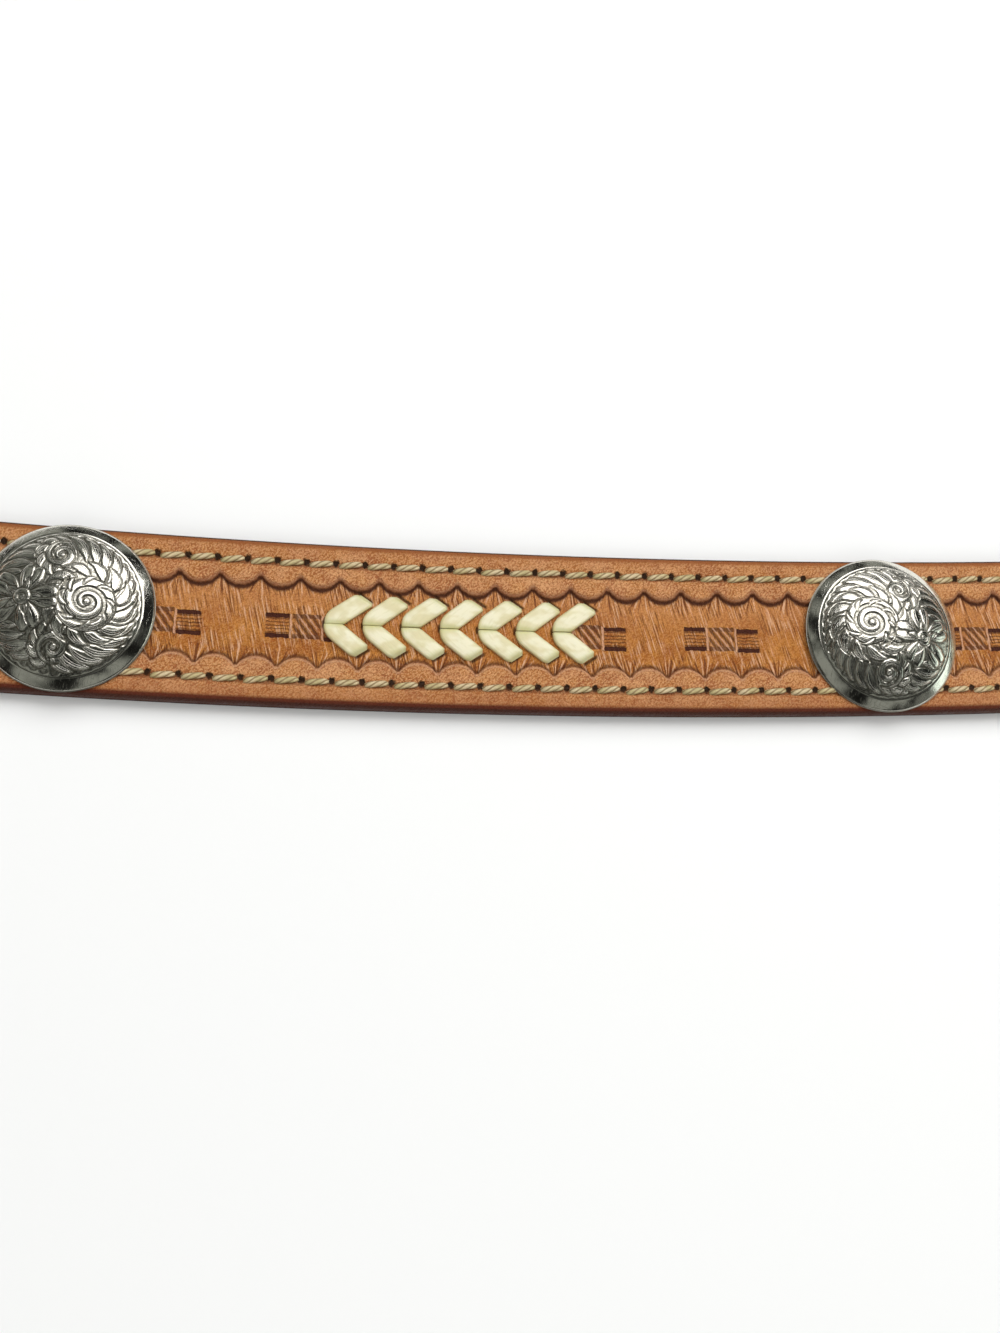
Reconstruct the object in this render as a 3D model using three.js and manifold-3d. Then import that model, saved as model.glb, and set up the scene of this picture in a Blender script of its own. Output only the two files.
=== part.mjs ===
// A western concho belt laid flat on a table, face up, in a gentle curve.
//
// The strap is two layers: a tooled face with a sunk field between two scalloped borders, and a thin
// lining under it. Domed metal conchos are screwed through the face, rows of flat rawhide laces weave
// chevrons between them, and the face turns round the bar of a plain one-piece plate buckle.
//
// Millimetres, +Z up. The belt is drawn in strap coordinates: s along the strap's middle line, from the
// middle concho towards the tip, t across it, and z above the table. layPoint() bends them to the table.
// The origin is the middle of the underside of the whole belt's bounding box.

import * as THREE from 'three';
import { mergeVertices } from 'three/addons/utils/BufferGeometryUtils.js';
import Module from 'manifold-3d';

const wasm = await Module();
wasm.setup();

// Strap
const STRAP_WIDTH = 38;
const FACE_THICKNESS = 3.2;
const LINING_THICKNESS = 1.6;
const FACE_EDGE_ROUND = 1.4;
const LINING_EDGE_ROUND = 0.7;
const LAY_RADIUS = 2400;
const STRAP_STEP = 75;

// Buckle end: the face is skived thin and turned back under itself
const BAR_REACH = 60;
const TURN_THICKNESS = 1.3;
const TURN_STEPS = 5;
const TAB_LENGTH = 45;
const TAB_GAP = 0.6;
const RAMP_LENGTH = 14;
const RAMP_STEPS = 4;

// Tip end
const FIRST_HOLE_REACH = 54;
const HOLE_COUNT = 5;
const HOLE_PITCH = 25.4;
const HOLE_RADIUS = 2.2;
const HOLE_SIDES = 10;
const TIP_REACH = 78;
const TIP_TAPER = 34;
const TIP_STEPS = 6;
const TIP_HALF_WIDTH = 2.4;

// Tooled field
const FIELD_DEPTH = 0.8;
const FIELD_MARGIN = 30;
const BORDER_WIDTH = 8.1;
const SCALLOP_PITCH = 8.9;
const SCALLOP_DEPTH = 2.9;
const SCALLOP_STEPS = 3;

// Conchos and their screws
const CONCHO_COUNT = 5;
const CONCHO_PITCH = 188;
const CONCHO_RADIUS = 19;
const CONCHO_HEIGHT = 7;
const CONCHO_RIM = 0.9;
const CONCHO_WALL = 1.1;
const CONCHO_SIDES = 24;
const DOME_STEPS = 4;
const POST_RADIUS = 3;
const SCREW_RADIUS = 1.5;
const SCREW_HEAD_RADIUS = 5;
const SCREW_HEAD_THICKNESS = 1.1;
const SCREW_LENGTH = 5;
const SCREW_SIDES = 12;
const SCREW_RECESS = 0.2;

// Rawhide lacing
const LACE_THICKNESS = 1;
const LACE_WIDTH = 4.4;
const LACE_PITCH = 8.7;
const LACE_LEGS = 7;
const LACE_START = 38.6;
const LACE_NOTCH = 4.6;
const LACE_END_ANGLE = THREE.MathUtils.degToRad(-34);
const LACE_ROWS = [
  { name: 'upper', side: 1, angle: THREE.MathUtils.degToRad(36.5) },
  { name: 'lower', side: -1, angle: THREE.MathUtils.degToRad(39) },
];
const POCKET_MARGIN = 1.5;

// Buckle
const BAR_RADIUS = 1.6;
const BAR_SIDES = 8;
const PLATE_LENGTH = 64;
const PLATE_WIDTH = 52;
const PLATE_THICKNESS = 2;
const PLATE_CROWN = 1.2;
const PLATE_CORNER = 14;
const PLATE_CORNER_STEPS = 4;
const PLATE_BEVEL = 0.6;
const PLATE_SLOPE = 10;
const PLATE_OVERLAP = 12;
const ARM_WIDTH = 2.6;
const ARM_LENGTH = 4;
const HOOK_REACH = 42;
const HOOK_RADIUS = 2.1;
const HOOK_TIP_RADIUS = 1.5;
const HOOK_LENGTH = 5;
const HOOK_LEAN = 1.6;
const HOOK_SIDES = 10;

// Clearances
const CLEARANCE = 0.3;
const ARM_CLEARANCE = 0.9;
const CUT_OVERRUN = 1;

// Places worked out from the sizes above
const HALF_WIDTH = STRAP_WIDTH / 2;
const FACE_BOTTOM = LINING_THICKNESS;
const FACE_TOP = FACE_BOTTOM + FACE_THICKNESS;
const FIELD_FLOOR = FACE_TOP - FIELD_DEPTH;
const LAST_CONCHO = ((CONCHO_COUNT - 1) / 2) * CONCHO_PITCH;
const BAR_S = -LAST_CONCHO - BAR_REACH;
const EYE_RADIUS = BAR_RADIUS + CLEARANCE;
const BAR_Z = TURN_THICKNESS + EYE_RADIUS;
const EYE_TOP = BAR_Z + EYE_RADIUS + TURN_THICKNESS;
const LINING_START = BAR_S + TAB_LENGTH + TAB_GAP;
const FIRST_HOLE_S = LAST_CONCHO + FIRST_HOLE_REACH;
const TIP_S = FIRST_HOLE_S + (HOLE_COUNT - 1) * HOLE_PITCH + TIP_REACH;
const FIELD_HALF_LENGTH = LAST_CONCHO + FIELD_MARGIN;
const CUSP_T = HALF_WIDTH - BORDER_WIDTH;
const LEG_REACH = CUSP_T - SCALLOP_DEPTH - CLEARANCE;
const LACE_TOP = FIELD_FLOOR + CLEARANCE + LACE_THICKNESS;
const LACE_BOTTOM = FACE_BOTTOM + CLEARANCE / 2;
const POCKET_TOP = LACE_BOTTOM + LACE_THICKNESS + CLEARANCE / 2;

const LEATHER = { color: 0xb9713f, roughness: 0.55, metalness: 0 };
const LINING_LEATHER = { color: 0x7a3f27, roughness: 0.8, metalness: 0 };
const RAWHIDE = { color: 0xe6dfb4, roughness: 0.5, metalness: 0 };
const NICKEL = { color: 0xc9c8c0, roughness: 0.25, metalness: 1 };

const conchoPlaces = Array.from({ length: CONCHO_COUNT }, (_, i) => i * CONCHO_PITCH - LAST_CONCHO);
const panelPlaces = conchoPlaces.slice(1).map((s) => s - CONCHO_PITCH / 2);
const holePlaces = Array.from({ length: HOLE_COUNT }, (_, i) => FIRST_HOLE_S + i * HOLE_PITCH);

// The table point of a strap point: the middle line is an arc whose centre lies on +Y.
function layPoint(s, t, z) {
  const turn = s / LAY_RADIUS;
  const radius = LAY_RADIUS - t;
  return new THREE.Vector3(radius * Math.sin(turn), LAY_RADIUS - radius * Math.cos(turn), z);
}

function place(object, s, z) {
  object.position.copy(layPoint(s, 0, z));
  object.rotation.z = s / LAY_RADIUS;
  return object;
}

function toSolid(geometry) {
  const bare = geometry.clone();
  bare.deleteAttribute('normal');
  bare.deleteAttribute('uv');
  const merged = mergeVertices(bare, 1e-4);
  return new wasm.Manifold(new wasm.Mesh({
    numProp: 3,
    vertProperties: new Float32Array(merged.attributes.position.array),
    triVerts: new Uint32Array(merged.index.array),
  }));
}

function toGeometry(solid) {
  const mesh = solid.getMesh();
  const geometry = new THREE.BufferGeometry();
  geometry.setAttribute('position', new THREE.BufferAttribute(new Float32Array(mesh.vertProperties), 3));
  geometry.setIndex(new THREE.BufferAttribute(new Uint32Array(mesh.triVerts), 1));
  geometry.computeVertexNormals();
  return geometry;
}

function fuse(solids) {
  return solids.reduce((whole, solid) => whole.add(solid));
}

function cut(body, cutters) {
  return cutters.reduce((left, cutter) => left.subtract(cutter), body);
}

// A closed body through rings of points: each ring joins the next, and the first and last are capped.
// The four-sided faces between two rings are split along their shorter diagonal.
function loft(rings, caps) {
  const count = rings[0].length;
  const triangles = [];
  const push = (...corners) => corners.forEach((corner) => triangles.push(...corner.toArray()));
  for (let i = 0; i + 1 < rings.length; i += 1) {
    for (let k = 0; k < count; k += 1) {
      const next = (k + 1) % count;
      const [a, b, c, d] = [rings[i][k], rings[i][next], rings[i + 1][next], rings[i + 1][k]];
      if (a.distanceTo(c) < b.distanceTo(d)) push(a, b, c, a, c, d);
      else push(a, b, d, b, c, d);
    }
  }
  const last = rings[rings.length - 1];
  for (const [a, b, c] of caps) {
    push(rings[0][a], rings[0][c], rings[0][b]);
    push(last[a], last[b], last[c]);
  }
  const geometry = new THREE.BufferGeometry();
  geometry.setAttribute('position', new THREE.Float32BufferAttribute(triangles, 3));
  geometry.computeVertexNormals();
  return geometry;
}

// An upright prism over an outline of [s, t] points in strap coordinates, anticlockwise from above.
function strapPrism(outline, low, high) {
  const ring = (z) => outline.map(([s, t]) => layPoint(s, t, z));
  const caps = THREE.ShapeUtils.triangulateShape(ring(low).map(({ x, y }) => new THREE.Vector2(x, y)), []);
  return toSolid(loft([ring(low), ring(high)], caps));
}

function circle(s, t, radius, sides) {
  return Array.from({ length: sides }, (_, i) => {
    const angle = (i / sides) * 2 * Math.PI;
    return [s + radius * Math.cos(angle), t + radius * Math.sin(angle)];
  });
}

// A rectangle's outline with round corners, anticlockwise, centred on the origin.
function roundedRectangle(halfLength, halfWidth, corner) {
  return [[1, -1], [1, 1], [-1, 1], [-1, -1]].flatMap(([u, v], quarter) => (
    Array.from({ length: PLATE_CORNER_STEPS + 1 }, (_, i) => {
      const angle = ((quarter - 1 + i / PLATE_CORNER_STEPS) * Math.PI) / 2;
      return [
        u * (halfLength - corner) + corner * Math.cos(angle),
        v * (halfWidth - corner) + corner * Math.sin(angle),
      ];
    })
  ));
}

// A slim rectangle centred on (s, t), its length lying at angle.
function bar(s, t, length, thickness, angle) {
  const [c, n] = [Math.cos(angle), Math.sin(angle)];
  return [[-1, -1], [1, -1], [1, 1], [-1, 1]].map(([u, v]) => {
    const along = (u * length) / 2;
    const across = (v * thickness) / 2;
    return [s + along * c - across * n, t + along * n + across * c];
  });
}

// A leather layer as a loft. Each section has its middle (s, z), the way its grain side faces (ns, nz),
// half its thickness and half its width. The edges on the grain side are bevelled.
function leather(sections, edgeRound) {
  const rings = sections.map(({ s, z, ns, nz, half, width }) => {
    const bevel = Math.min(edgeRound, half, width / 2);
    const corner = (t, up) => layPoint(s + ns * up, t, z + nz * up);
    return [
      corner(-width, -half), corner(width, -half), corner(width, half - bevel),
      corner(width - bevel, half), corner(bevel - width, half), corner(-width, half - bevel),
    ];
  });
  const caps = [[0, 1, 2], [0, 2, 3], [0, 3, 4], [0, 4, 5]];
  return toSolid(loft(rings, caps));
}

// The strap's half width near its tip: an ellipse that ends a little blunt.
function tipHalfWidth(s) {
  const share = THREE.MathUtils.clamp((s - (TIP_S - TIP_TAPER)) / TIP_TAPER, 0, 1);
  return TIP_HALF_WIDTH + (HALF_WIDTH - TIP_HALF_WIDTH) * Math.sqrt(1 - share * share);
}

function flatRun(from, middle, half, grainUp) {
  const straightEnd = TIP_S - TIP_TAPER;
  const steps = Math.ceil((straightEnd - from) / STRAP_STEP);
  const places = Array.from({ length: steps }, (_, i) => from + ((straightEnd - from) * i) / steps);
  for (let i = 0; i <= TIP_STEPS; i += 1) {
    places.push(straightEnd + TIP_TAPER * Math.sin(((i / TIP_STEPS) * Math.PI) / 2));
  }
  return places.map((s) => ({ s, z: middle, ns: 0, nz: grainUp, half, width: tipHalfWidth(s) }));
}

// The face from its turned-back tab, round the buckle bar, up the ramp and along to the tip.
function faceSections() {
  const turnHalf = TURN_THICKNESS / 2;
  const bend = EYE_RADIUS + turnHalf;
  const sections = [
    { s: BAR_S + TAB_LENGTH, z: turnHalf, ns: 0, nz: -1, half: turnHalf, width: HALF_WIDTH },
  ];
  for (let i = 0; i <= TURN_STEPS; i += 1) {
    const angle = -Math.PI / 2 - (i / TURN_STEPS) * Math.PI;
    const [ns, nz] = [Math.cos(angle), Math.sin(angle)];
    sections.push({ s: BAR_S + bend * ns, z: BAR_Z + bend * nz, ns, nz, half: turnHalf, width: HALF_WIDTH });
  }
  const middle = (FACE_BOTTOM + FACE_TOP) / 2;
  for (let i = 1; i < RAMP_STEPS; i += 1) {
    const share = i / RAMP_STEPS;
    const ease = THREE.MathUtils.smoothstep(share, 0, 1);
    sections.push({
      s: BAR_S + RAMP_LENGTH * share,
      z: THREE.MathUtils.lerp(BAR_Z + bend, middle, ease),
      ns: 0,
      nz: 1,
      half: THREE.MathUtils.lerp(turnHalf, FACE_THICKNESS / 2, ease),
      width: HALF_WIDTH,
    });
  }
  return sections.concat(flatRun(BAR_S + RAMP_LENGTH, middle, FACE_THICKNESS / 2, 1));
}

// How far the border hangs into the field at s: circular arcs a pitch wide that meet in cusps.
function scallopDrop(s, phase) {
  const radius = (SCALLOP_PITCH ** 2 / 4 + SCALLOP_DEPTH ** 2) / (2 * SCALLOP_DEPTH);
  const share = s / SCALLOP_PITCH + phase;
  const fromMiddle = (share - Math.floor(share) - 0.5) * SCALLOP_PITCH;
  return Math.sqrt(radius ** 2 - fromMiddle ** 2) - (radius - SCALLOP_DEPTH);
}

// One edge of the sunk field, from end to end, with a point at every cusp.
function fieldEdge(phase) {
  const step = SCALLOP_PITCH / SCALLOP_STEPS;
  const reach = FIELD_HALF_LENGTH / step;
  const shift = phase * SCALLOP_STEPS;
  const first = Math.ceil(shift - reach);
  const last = Math.floor(shift + reach);
  const between = Array.from({ length: last - first + 1 }, (_, i) => (first + i - shift) * step);
  const places = [-FIELD_HALF_LENGTH, ...between, FIELD_HALF_LENGTH];
  return places.map((s) => [s, CUSP_T - scallopDrop(s, phase)]);
}

// The sunk field's outline. The upper cusps stand over the middles of the lower scallops.
function fieldOutline() {
  const lower = fieldEdge(0).map(([s, t]) => [s, -t]);
  return lower.concat(fieldEdge(0.5).reverse());
}

// One leg of lacing, from the chevron's point at s: the corners of its slanting outer end, and the two
// slits that it goes through, as middle, length and angle. All lengths are for the row's own side.
function leg(s, { side, angle }) {
  const along = [Math.cos(angle), Math.sin(angle)];
  const seam = CLEARANCE / 2;
  const shoulder = [LACE_NOTCH - LACE_WIDTH * along[1], seam + LACE_WIDTH * along[0]];
  const slope = along[1] / along[0];
  const start = shoulder[1] - shoulder[0] * slope;
  const far = [shoulder[0] + (LEG_REACH - shoulder[1]) / slope, LEG_REACH];
  const endLength = LACE_WIDTH / Math.sin(angle - LACE_END_ANGLE);
  const near = [
    far[0] + endLength * Math.cos(LACE_END_ANGLE),
    far[1] + endLength * Math.sin(LACE_END_ANGLE),
  ];
  const back = along.map((share) => share * LACE_THICKNESS);
  const skew = LACE_THICKNESS * Math.cos(angle - LACE_END_ANGLE);
  return {
    at: (u, v, z) => layPoint(s + u, side * v, z),
    seam,
    start,
    shoulder,
    far,
    near,
    back,
    endSlit: {
      s: s + (far[0] + near[0] - back[0]) / 2,
      t: (side * (far[1] + near[1] - back[1])) / 2,
      length: endLength + skew,
      angle: side * LACE_END_ANGLE,
    },
  };
}

function slit({ s, t, length, angle }) {
  return bar(s, t, length + 2 * CLEARANCE, LACE_THICKNESS + 2 * CLEARANCE, angle);
}

function legPlaces(panel) {
  return Array.from({ length: LACE_LEGS }, (_, i) => panel - LACE_START + i * LACE_PITCH);
}

// One lace as a ribbon. It comes up through a leg's centre slit, lies along the leg, goes down through
// the end slit and runs hidden under the face to the next centre slit. A ring of it has the outer
// side's two corners and then the inner side's: the outer side is up on the leg and down on the run.
function lace(panel, row) {
  const innerTop = LACE_TOP - LACE_THICKNESS;
  const innerBottom = LACE_BOTTOM + LACE_THICKNESS;
  const rings = legPlaces(panel).flatMap((s) => {
    const { at, seam, start, shoulder, far, near, back } = leg(s, row);
    const centreRing = (outer, inner) => [
      at(0, seam, outer), at(0, start, outer),
      at(LACE_THICKNESS, start, inner), at(LACE_THICKNESS, seam, inner),
    ];
    const endRing = (outer, inner) => [
      at(...near, outer), at(...far, outer),
      at(far[0] - back[0], far[1] - back[1], inner), at(near[0] - back[0], near[1] - back[1], inner),
    ];
    return [
      centreRing(LACE_BOTTOM, innerBottom),
      centreRing(LACE_TOP, innerTop),
      [
        at(LACE_NOTCH, seam, LACE_TOP), at(...shoulder, LACE_TOP),
        at(...shoulder, innerTop), at(LACE_NOTCH, seam, innerTop),
      ],
      endRing(LACE_TOP, innerTop),
      endRing(LACE_BOTTOM, innerBottom),
    ];
  });
  const caps = [[0, 1, 2], [0, 2, 3]];
  return loft(row.side > 0 ? rings.reverse() : rings, caps);
}

// The slits and the shallow pocket that one panel of lacing needs in the face.
function lacingCuts(panel) {
  const through = (outline) => strapPrism(outline, FACE_BOTTOM - CUT_OVERRUN, FACE_TOP + CUT_OVERRUN);
  const cuts = legPlaces(panel).flatMap((s) => {
    const [upper, lower] = LACE_ROWS.map((row) => leg(s, row));
    const centreSlit = {
      s: s + LACE_THICKNESS / 2,
      t: (upper.start - lower.start) / 2,
      length: upper.start + lower.start,
      angle: Math.PI / 2,
    };
    return [centreSlit, upper.endSlit, lower.endSlit].map((place) => through(slit(place)));
  });
  const longest = Math.max(...LACE_ROWS.map((row) => leg(0, row).near[0]));
  const places = legPlaces(panel);
  const from = places[0] - POCKET_MARGIN;
  const to = places[LACE_LEGS - 1] + longest + POCKET_MARGIN;
  const pocket = bar((from + to) / 2, 0, to - from, 2 * (LEG_REACH + CLEARANCE), 0);
  return cuts.concat(strapPrism(pocket, FACE_BOTTOM - CUT_OVERRUN, POCKET_TOP));
}

function roundCut(s, radius, sides) {
  return strapPrism(circle(s, 0, radius, sides), -CUT_OVERRUN, FACE_TOP + CUT_OVERRUN);
}

function strapFace() {
  return cut(leather(faceSections(), FACE_EDGE_ROUND), [
    strapPrism(fieldOutline(), FIELD_FLOOR, FACE_TOP + CUT_OVERRUN),
    ...panelPlaces.flatMap(lacingCuts),
    ...conchoPlaces.map((s) => roundCut(s, POST_RADIUS + CLEARANCE, SCREW_SIDES)),
    ...holePlaces.map((s) => roundCut(s, HOLE_RADIUS, HOLE_SIDES)),
  ]);
}

function strapLining() {
  const half = LINING_THICKNESS / 2;
  return cut(leather(flatRun(LINING_START, half, half, -1).reverse(), LINING_EDGE_ROUND), [
    ...conchoPlaces.map((s) => roundCut(s, SCREW_HEAD_RADIUS + CLEARANCE, SCREW_SIDES)),
    ...holePlaces.map((s) => roundCut(s, HOLE_RADIUS, HOLE_SIDES)),
  ]);
}

// A concho: a hollow dome with an upright rim and a screw post in its middle. Its rim's foot is at z 0.
function concho() {
  const domeRise = CONCHO_HEIGHT - CONCHO_RIM;
  const sphere = (CONCHO_RADIUS ** 2 + domeRise ** 2) / (2 * domeRise);
  const centre = CONCHO_HEIGHT - sphere;
  const rimAngle = Math.asin(CONCHO_RADIUS / sphere);
  const inner = sphere - CONCHO_WALL;
  const postBottom = -FACE_THICKNESS;
  const bore = SCREW_RADIUS + CLEARANCE;
  const boreTop = SCREW_RECESS + SCREW_HEAD_THICKNESS + SCREW_LENGTH - FACE_TOP;
  const profile = [new THREE.Vector2(0, CONCHO_HEIGHT)];
  for (let i = 1; i <= DOME_STEPS; i += 1) {
    const angle = (rimAngle * i) / DOME_STEPS;
    profile.push(new THREE.Vector2(sphere * Math.sin(angle), centre + sphere * Math.cos(angle)));
  }
  profile.push(new THREE.Vector2(CONCHO_RADIUS, 0), new THREE.Vector2(CONCHO_RADIUS - CONCHO_WALL, 0));
  const innerRim = Math.asin((CONCHO_RADIUS - CONCHO_WALL) / inner);
  const innerPost = Math.asin(POST_RADIUS / inner);
  for (let i = 0; i < DOME_STEPS - 1; i += 1) {
    const angle = THREE.MathUtils.lerp(innerRim, innerPost, i / (DOME_STEPS - 2));
    profile.push(new THREE.Vector2(inner * Math.sin(angle), centre + inner * Math.cos(angle)));
  }
  profile.push(new THREE.Vector2(POST_RADIUS, postBottom), new THREE.Vector2(bore, postBottom));
  profile.push(new THREE.Vector2(bore, boreTop), new THREE.Vector2(0, boreTop));
  return new THREE.LatheGeometry(profile.reverse(), CONCHO_SIDES).rotateX(Math.PI / 2);
}

function conchoScrew() {
  const headTop = SCREW_HEAD_THICKNESS;
  const profile = [
    [0, 0], [SCREW_HEAD_RADIUS, 0], [SCREW_HEAD_RADIUS, headTop], [SCREW_RADIUS, headTop],
    [SCREW_RADIUS, headTop + SCREW_LENGTH], [0, headTop + SCREW_LENGTH],
  ].map(([r, z]) => new THREE.Vector2(r, z));
  return new THREE.LatheGeometry(profile, SCREW_SIDES).rotateX(Math.PI / 2);
}

// The buckle in its own frame: x along the strap from the bar, the bar's middle line at z 0.
function buckle() {
  const backZ = EYE_TOP + CLEARANCE - BAR_Z;
  const armInner = HALF_WIDTH + ARM_CLEARANCE;
  const plateMiddle = PLATE_OVERLAP - PLATE_LENGTH / 2;
  const plateRing = (inset, z) => {
    const corner = Math.max(PLATE_CORNER - inset, PLATE_BEVEL);
    return roundedRectangle(PLATE_LENGTH / 2 - inset, PLATE_WIDTH / 2 - inset, corner)
      .map(([x, y]) => new THREE.Vector3(plateMiddle + x, y, z));
  };
  const rings = [
    plateRing(PLATE_BEVEL, backZ),
    plateRing(0, backZ + PLATE_BEVEL),
    plateRing(PLATE_BEVEL, backZ + PLATE_THICKNESS),
    plateRing(PLATE_SLOPE, backZ + PLATE_THICKNESS + PLATE_CROWN),
  ];
  const caps = THREE.ShapeUtils.triangulateShape(rings[0].map((p) => new THREE.Vector2(p.x, p.y)), []);
  const plate = toSolid(loft(rings, caps));
  const armTop = backZ + PLATE_THICKNESS / 2;
  const arms = [-1, 1].map((side) => toSolid(
    new THREE.BoxGeometry(ARM_LENGTH, ARM_WIDTH, armTop + BAR_RADIUS)
      .translate(0, side * (armInner + ARM_WIDTH / 2), (armTop - BAR_RADIUS) / 2),
  ));
  const barLength = 2 * armInner + ARM_WIDTH;
  const crossBar = toSolid(new THREE.CylinderGeometry(BAR_RADIUS, BAR_RADIUS, barLength, BAR_SIDES));
  const hookRing = (radius, x, z) => Array.from({ length: HOOK_SIDES }, (_, i) => {
    const angle = (i / HOOK_SIDES) * 2 * Math.PI;
    return new THREE.Vector3(x + radius * Math.cos(angle), radius * Math.sin(angle), z);
  });
  const hookRings = [
    hookRing(HOOK_TIP_RADIUS, -HOOK_REACH - HOOK_LEAN, backZ - HOOK_LENGTH),
    hookRing(HOOK_RADIUS, -HOOK_REACH, backZ + PLATE_THICKNESS / 2),
  ];
  const hookCaps = Array.from({ length: HOOK_SIDES - 2 }, (_, i) => [0, i + 1, i + 2]);
  return fuse([plate, ...arms, crossBar, toSolid(loft(hookRings, hookCaps))]);
}

function mesh(name, geometry, finish) {
  const made = new THREE.Mesh(geometry, new THREE.MeshStandardMaterial(finish));
  made.name = name;
  return made;
}

const strap = new THREE.Group();
strap.add(mesh('strap_face', toGeometry(strapFace()), LEATHER));
strap.add(mesh('strap_lining', toGeometry(strapLining()), LINING_LEATHER));

const lacing = new THREE.Group();
panelPlaces.forEach((s, i) => {
  for (const row of LACE_ROWS) {
    lacing.add(mesh(`lace_${row.name}_${i + 1}`, lace(s, row), RAWHIDE));
  }
});

const conchos = new THREE.Group();
conchoPlaces.forEach((s, i) => {
  conchos.add(place(mesh(`concho_${i + 1}`, concho(), NICKEL), s, FACE_TOP + CLEARANCE));
  conchos.add(place(mesh(`concho_screw_${i + 1}`, conchoScrew(), NICKEL), s, SCREW_RECESS));
});

const belt = new THREE.Group();
belt.add(strap, lacing, conchos);
belt.add(place(mesh('buckle', toGeometry(buckle()), NICKEL), BAR_S, BAR_Z));

// The origin goes to the middle of the underside of the bounding box.
const box = new THREE.Box3().setFromObject(belt, true);
const middle = box.getCenter(new THREE.Vector3());
belt.position.set(-middle.x, -middle.y, -box.min.z);

export default belt;
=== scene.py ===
import math

import bmesh
import bpy
import numpy as np
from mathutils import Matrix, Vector


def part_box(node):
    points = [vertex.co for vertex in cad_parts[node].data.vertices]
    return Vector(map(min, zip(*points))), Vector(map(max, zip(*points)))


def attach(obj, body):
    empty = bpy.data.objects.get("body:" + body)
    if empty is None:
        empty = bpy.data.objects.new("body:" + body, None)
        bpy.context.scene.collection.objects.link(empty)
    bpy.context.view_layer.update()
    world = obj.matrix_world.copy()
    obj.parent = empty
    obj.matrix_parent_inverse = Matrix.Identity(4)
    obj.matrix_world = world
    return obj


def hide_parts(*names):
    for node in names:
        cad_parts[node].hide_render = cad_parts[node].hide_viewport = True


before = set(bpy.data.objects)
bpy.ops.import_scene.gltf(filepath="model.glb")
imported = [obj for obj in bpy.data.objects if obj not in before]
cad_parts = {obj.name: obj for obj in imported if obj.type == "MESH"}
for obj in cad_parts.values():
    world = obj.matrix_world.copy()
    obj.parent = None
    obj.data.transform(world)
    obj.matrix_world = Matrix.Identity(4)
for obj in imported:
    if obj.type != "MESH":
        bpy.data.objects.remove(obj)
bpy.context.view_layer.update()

# The belt lies in a gentle arc. Sizes are in millimetres: s along the belt from the middle concho, t across it.
MM = 0.001
LAY_RADIUS = 2400.0
HALF_WIDTH = 19.0
FACE_BOTTOM, FACE_TOP = 1.6, 4.8
LINING_START = -390.4
BAR_S, BAR_Z, TURN_MIDDLE, TURN_THICKNESS = -436.0, 3.2, 2.55, 1.3
TAB_S, RAMP_LENGTH = -391.0, 14.0
TIP_S, TAPER_S = 609.6, 575.6
TIP_HOLES = [430.0 + 25.4 * k for k in range(5)]
CONCHOS = [-376.0, -188.0, 0.0, 188.0, 376.0]
PANELS = [-282.0, -94.0, 94.0, 282.0]
FIELD_END, CUSP_T = 406.0, 10.9
SCALLOP_PITCH, SCALLOP_DEPTH, FIELD_DEPTH = 8.9, 2.9, 0.8
STITCH_PITCH, STITCH_HOLE_S = 6.6, -18.0
UPPER_ROW, LOWER_ROW = 14.0, -13.5
STAMP_PITCH, STAMP_S, STAMP_T = 32.2, -39.6, -0.8

low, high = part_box("concho_3")
ORIGIN = np.array([(low[0] + high[0]) / 2, (low[1] + high[1]) / 2])


def lay(s, t, z):
    """The place in the frame of points given along, across and above the strap."""
    s, t, z = np.broadcast_arrays(*(np.asarray(v, float) for v in (s, t, z)))
    turn = s / LAY_RADIUS
    x = (LAY_RADIUS - t) * np.sin(turn) * MM + ORIGIN[0]
    y = (LAY_RADIUS - (LAY_RADIUS - t) * np.cos(turn)) * MM + ORIGIN[1]
    return np.stack([x, y, z * MM], -1)


def smooth(value, low, high):
    """0 below low, 1 above high and a soft step between."""
    share = np.clip((value - low) / (high - low), 0, 1)
    return share * share * (3 - 2 * share)


def scallop_drop(s, phase):
    """How far the arc lies inside the line of cusps."""
    radius = (SCALLOP_PITCH ** 2 / 4 + SCALLOP_DEPTH ** 2) / (2 * SCALLOP_DEPTH)
    middle = ((s / SCALLOP_PITCH + phase) % 1 - 0.5) * SCALLOP_PITCH
    return np.sqrt(radius ** 2 - middle ** 2) - (radius - SCALLOP_DEPTH)


# Camera

camera_data = bpy.data.cameras.new("camera")
camera_data.lens = 35.11
camera_data.sensor_width = 36
camera_data.sensor_fit = "AUTO"
camera_data.dof.use_dof = False
camera_data.clip_start = 0.01
camera = bpy.data.objects.new("camera", camera_data)
bpy.context.scene.collection.objects.link(camera)
camera.location = (ORIGIN[0] - 0.14209, ORIGIN[1] - 0.08054, 0.28581)
camera.rotation_euler = tuple(math.radians(v) for v in (15.0, -9.138, -3.008))
bpy.context.scene.camera = camera


# Meshes

def mesh_object(name, places, faces, material=None, sharp=False):
    """A finished piece from points in metres and faces."""
    mesh = bpy.data.meshes.new(name)
    mesh.from_pydata(np.asarray(places).reshape(-1, 3).tolist(), [], [list(map(int, f)) for f in faces])
    mesh.validate(clean_customdata=False)
    if not sharp:
        mesh.shade_smooth()
    piece = bpy.data.objects.new(name, mesh)
    bpy.context.scene.collection.objects.link(piece)
    if material:
        mesh.materials.append(material)
    return piece


def point_value(piece, name, values):
    """One number for each point, which the materials read by name."""
    attribute = piece.data.attributes.new(name, "FLOAT", "POINT")
    attribute.data.foreach_set("value", np.asarray(values, np.float32).ravel())


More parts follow.
